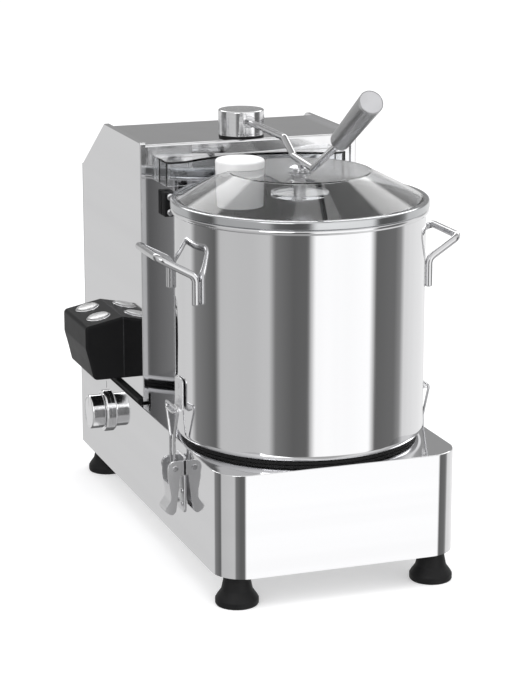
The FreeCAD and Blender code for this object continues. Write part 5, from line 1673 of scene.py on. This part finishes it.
@dataclass
class Blades:
    """Blade hub with its fluted lifting knob, and the two sickle blades."""

    radius: float = 26.5
    top_radius: float = 22.5
    wall: float = 4.5
    knob: float = 15.0
    knob_height: float = 22.0
    low: float = 152.0
    top: float = 241.5
    thickness: float = 3.0
    reach: float = 123.0
    bow: float = 34.0
    root: float = 15.0
    grind: float = 2.3
    collar: float = 32.5
    ceiling: float = 225.5
    flutes: int = 8
    rises: tuple[float, float] = (156.0, 184.0)
    turns: tuple[float, float] = (0.0, 180.0)
    names: tuple[str, str] = ("lower_blade", "upper_blade")

    def hub(self) -> None:
        """Turned sleeve with a tapered shoulder and a fluted knob."""
        inner, ceiling = self.radius - self.wall, self.ceiling
        end = self.top + self.knob_height
        profile = rounded([(inner, self.low, 0.4), (self.radius, self.low, 0.8),
                           (self.radius, self.low + 46, 4.0), (self.top_radius, self.top - 1.5, 2.2),
                           (self.knob - 3, self.top, 2.0), (self.knob, self.top + 6, 3.0),
                           (self.knob, end, 2.6), (0, end), (0, ceiling), (inner, ceiling)], smooth=6)
        form = Form.turned(profile, (0, AT.bowl_y, 0), steps=128)
        tools = []
        for k in range(self.flutes):
            turn = 2 * math.pi * k / self.flutes
            r = self.knob + 2.2
            flute = Form()
            bmesh.ops.create_uvsphere(flute.bm, u_segments=24, v_segments=12, radius=4.0)
            bmesh.ops.scale(flute.bm, vec=(1, 1, 4.0), verts=flute.verts)
            tools.append(flute.moved(r * math.cos(turn), AT.bowl_y + r * math.sin(turn), self.top + 21.5))
        form.cut(*tools)
        form.cut(hexagon_form(10.05, (0, AT.bowl_y, ceiling - 1), (0, 0, 1), 11.0, 0.1))
        form.dressed("fluted_hub", HUB_METAL, "blade_hub", body="spindle", smooth=30)

    def blade(self, name: str, z: float, turn: float) -> None:
        """Sickle blade: swept back edge, ground bevel and a collar round the hub.

        Args:
            name: CAD node that it stands for.
            z: Height of its underside.
            turn: Angle round the spindle in degrees.
        """
        root = self.root
        start = math.sqrt(self.radius ** 2 - root ** 2)

        def through(a: Vector, b: Vector, c: Vector, steps: int) -> Outline:
            """Arc through three points.

            Args:
                a: First point.
                b: Point between.
                c: Last point.
                steps: Number of chords.

            Returns:
                The arc's points with both ends.
            """
            d = 2 * (a.x * (b.y - c.y) + b.x * (c.y - a.y) + c.x * (a.y - b.y))
            squares = [p.length_squared for p in (a, b, c)]
            ux = (squares[0] * (b.y - c.y) + squares[1] * (c.y - a.y) + squares[2] * (a.y - b.y)) / d
            uy = (squares[0] * (c.x - b.x) + squares[1] * (a.x - c.x) + squares[2] * (b.x - a.x)) / d
            centre = Vector((ux, uy))
            first, mid, last = (math.degrees(math.atan2((p - centre).y, (p - centre).x)) for p in (a, b, c))
            span = (last - first + 180) % 360 - 180
            if abs((mid - first + 180) % 360 - 180) > abs(span):
                span -= math.copysign(360, span)
            return arc((ux, uy), (a - centre).length, first, first + span, steps)

        tip = Vector((self.reach, 8.0))
        front = through(Vector((start, -root)), Vector((self.reach * 0.62, -self.bow)), tip, 40)
        rear = through(tip, Vector((self.reach * 0.56, -self.bow * 0.2)), Vector((start, root)), 32)
        blank = Form.prism(front[:-1] + rear, z, self.thickness)
        edges = [e for e in blank.bm.edges if all(v.co.z > z + self.thickness - 0.01 for v in e.verts)
                 and any((v.co.xy - Vector(p)).length < 1e-3 for v in e.verts for p in front[1:-1])]
        bmesh.ops.bevel(blank.bm, geom=edges, offset=self.grind, offset_type="OFFSET", affect="EDGES",
                        segments=1, profile=0.5, clamp_overlap=True, material=-1)
        blank.moved(0, AT.bowl_y, 0)
        section = [(self.radius, 0), (self.collar, 0, 0.4), (self.collar, 3.0, 0.4), (self.radius, 3.0)]
        blank.joined(Form.turned(rounded(section, 3), (0, AT.bowl_y, z), steps=96))
        axis = Matrix.Translation((0, AT.bowl_y, 0))
        spin = axis @ Matrix.Rotation(math.radians(turn), 4, "Z") @ axis.inverted()
        blank.placed(spin).dressed(f"ground_{name}", BLADE_STEEL, name, body="spindle", smooth=20)

    def build(self) -> None:
        """Builds the whole sub-assembly."""
        self.hub()
        for name, z, turn in zip(self.names, self.rises, self.turns):
            self.blade(name, z, turn)


@dataclass
class InnerPieces:
    """Finishes of the CAD nodes that stay in sight as they are."""

    finishes: dict[str, Finish] = field(default_factory=lambda: {
        "rear_cover": COLUMN_SIDE, "motor_mount": COLUMN_SIDE, "foot_fasteners": SCREW_STEEL,
        "lid_knob_bolt": SCREW_STEEL, "post_circlip": SCREW_STEEL,
        "post_shaft": SPINDLE_STEEL, "post_bush": BEARING_BRONZE,
        "spindle_shaft": SPINDLE_STEEL, "motor_rotor": SPINDLE_STEEL, "selector_spindle": SPINDLE_STEEL,
        "spindle_bearings": SPINDLE_STEEL, "bearing_housing": CAST_ALUMINIUM, "motor_body": CAST_ALUMINIUM,
        "spindle_pulley": CAST_ALUMINIUM, "motor_pulley": CAST_ALUMINIUM, "drive_belt": BLACK_RUBBER,
        "contact_blocks": BLACK_PLASTIC, "selector_switch": BLACK_PLASTIC, "motor_fan_cover": BLACK_PLASTIC,
        "run_capacitor": BLACK_PLASTIC})

    def build(self) -> None:
        """Gives each shown CAD node its finish."""
        for name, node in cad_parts.items():
            if node.hide_render:
                continue
            finish = self.finishes[name]
            node.data.materials.clear()
            node.data.materials.append(finish.material())
            log.info("%s keeps its CAD shape, finish %s", name, finish.name)


@dataclass
class Studio:
    """Floor, lamps, camera and a ring of light and dark strips that only reflections see."""

    camera_at: tuple[float, float, float] = (-0.8280, -2.29629, 0.8447)
    looks_along: tuple[float, float, float] = (0.32712, 0.91036, -0.25346)
    focal_pixels: float = 2287.41
    frame_height: float = 700.0
    strips: tuple[Stop, ...] = (
        (-180, 0.66), (-138, 0.70), (-130, 0.24), (-103, 0.13), (-97, 0.58), (-48, 0.62), (-42, 0.20),
        (-26, 0.13), (-13, 0.14), (-6, 1.2), (46, 1.2), (53, 0.14), (76, 0.17), (84, 0.30), (90, 0.80),
        (135, 0.95), (160, 0.80), (180, 0.66))
    ceiling: tuple[Stop, ...] = (
        (-180, 0.34), (-130, 0.5), (-60, 0.9), (-20, 0.8), (10, 1.0), (60, 0.9), (100, 0.5),
        (140, 0.33), (180, 0.34))
    back_light: tuple[Stop, ...] = ((-180, 1.0), (-160, 1.0), (-148, 0.0), (104, 0.0), (116, 1.0), (180, 1.0))
    back_level: float = 3.2
    ground: tuple[Stop, ...] = (
        (-180, 0.15), (-128, 0.15), (-112, 0.5), (-30, 0.4), (20, 0.45), (45, 0.8), (120, 0.8),
        (138, 0.15), (180, 0.15))
    walls_end: Stop = (0.34, 0.44)
    walls_end_behind: Stop = (0.02, 0.14)
    ground_end: Stop = (-0.42, -0.56)
    box_low: Stop = (0.42, 0.48)
    box_high: Stop = (0.72, 0.69)
    daylight: tuple[float, ...] = (0.84, 0.84, 0.85, 1)
    paint: tuple[float, ...] = (0.88, 0.88, 0.88, 1)
    glow: float = 0.34
    lamp_list: tuple[tuple[str, Corner, float, float], ...] = (
        ("soft_top", (0.3, -0.5, 2.6), 2.4, 26.0), ("soft_front", (-2.2, -2.6, 1.8), 1.8, 20.0))

    @staticmethod
    def seen(t: Tree) -> bpy.types.NodeSocket:
        """Whether the camera sees a surface, straight or through something clear."""
        path = t.add("LightPath").outputs
        return t.math("MAXIMUM", path["Is Camera Ray"], path["Is Transmission Ray"])

    def floor(self) -> None:
        """Plain pale floor that shows white to the camera and keeps the shadow."""
        bpy.ops.mesh.primitive_plane_add(size=60, location=(0, 0, 0))
        ground = bpy.context.object
        ground.name = "studio_floor"
        material = bpy.data.materials.new("studio_floor_paint")
        material.use_nodes = True
        material.node_tree.nodes.clear()
        t = Tree(material.node_tree)
        matt = t.add("BsdfDiffuse", {"Color": self.paint}).outputs[0]
        level = t.math("MULTIPLY", self.seen(t), self.glow)
        glow = t.add("Emission", {"Color": (1, 1, 1, 1), "Strength": level}).outputs[0]
        both = t.add("AddShader", {0: matt, 1: glow}).outputs[0]
        t.add("OutputMaterial", {"Surface": both})
        ground.data.materials.append(material)
        ground.visible_glossy = False

    def lamps(self) -> None:
        """Soft lamps above and in front, and a world whose strips stand round the object in reflections."""
        for name, place, size, power in self.lamp_list:
            lamp = bpy.data.lights.new(name, "AREA")
            lamp.size = size
            lamp.energy = power
            holder = bpy.data.objects.new(name, lamp)
            holder.location = place
            holder.rotation_euler = (Vector((0, 0, 0.2)) - Vector(place)).to_track_quat("-Z", "Y").to_euler()
            holder.visible_glossy = name != "soft_top"
            bpy.context.scene.collection.objects.link(holder)
        world = bpy.data.worlds.new("studio")
        bpy.context.scene.world = world
        world.use_nodes = True
        world.node_tree.nodes.clear()
        t = Tree(world.node_tree)
        way = t.add("SeparateXYZ", {0: t.add("TexCoord").outputs["Generated"]}).outputs
        turn = t.math("ARCTAN2", way[0], t.math("MULTIPLY", way[1], -1.0))
        share = t.add("MapRange", {0: turn, 1: -math.pi, 2: math.pi}).outputs[0]
        walls, above, behind, ground = (
            t.ramp(share, [((angle + 180) / 360, level) for angle, level in stops])
            for stops in (self.strips, self.ceiling, self.back_light, self.ground))
        box = t.math("MULTIPLY", t.spread(way[2], *self.box_low), t.spread(way[2], *self.box_high))
        above = t.mixed(t.math("MULTIPLY", box, behind), above, (*[self.back_level] * 3, 1))
        low_edge = t.math("MULTIPLY", t.spread(way[2], *self.walls_end_behind), behind)
        edge = t.math("MAXIMUM", low_edge, t.spread(way[2], *self.walls_end))
        tent = t.mixed(edge, t.mixed(t.spread(way[2], *self.ground_end), walls, ground), above)
        soft = t.mixed(t.add("LightPath").outputs["Is Glossy Ray"], self.daylight, tent)
        level = t.mixed(self.seen(t), soft, (1, 1, 1, 1))
        t.add("OutputWorld", {"Surface": t.add("Background", {"Color": level, "Strength": 1.0}).outputs[0]})

    def camera(self) -> None:
        """Camera at the photograph's place, angle and field of view."""
        lens = bpy.data.cameras.new("photo_camera")
        lens.sensor_width = 36.0
        lens.lens = self.focal_pixels / self.frame_height * 36.0
        lens.clip_start, lens.clip_end = 0.05, 100.0
        holder = bpy.data.objects.new("photo_camera", lens)
        holder.location = self.camera_at
        holder.rotation_mode = "QUATERNION"
        holder.rotation_quaternion = Vector(self.looks_along).to_track_quat("-Z", "Y")
        bpy.context.scene.collection.objects.link(holder)
        bpy.context.scene.camera = holder

    def build(self) -> None:
        """Builds the whole set."""
        self.floor()
        self.lamps()
        self.camera()
        bpy.context.scene.view_settings.view_transform = "Standard"


def main() -> None:
    """Builds every sub-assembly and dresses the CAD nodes."""
    logging.basicConfig(level=logging.INFO, format="%(name)s: %(message)s")
    for group in (Base(), Column(), Bowl(), Latch(Side.LEFT), Latch(Side.RIGHT), Lid(), Arm(), Controls(),
                  Blades(), InnerPieces(), Studio()):
        group.build()
        log.info("%s is built", type(group).__name__)


if __name__ == "__main__":
    main()
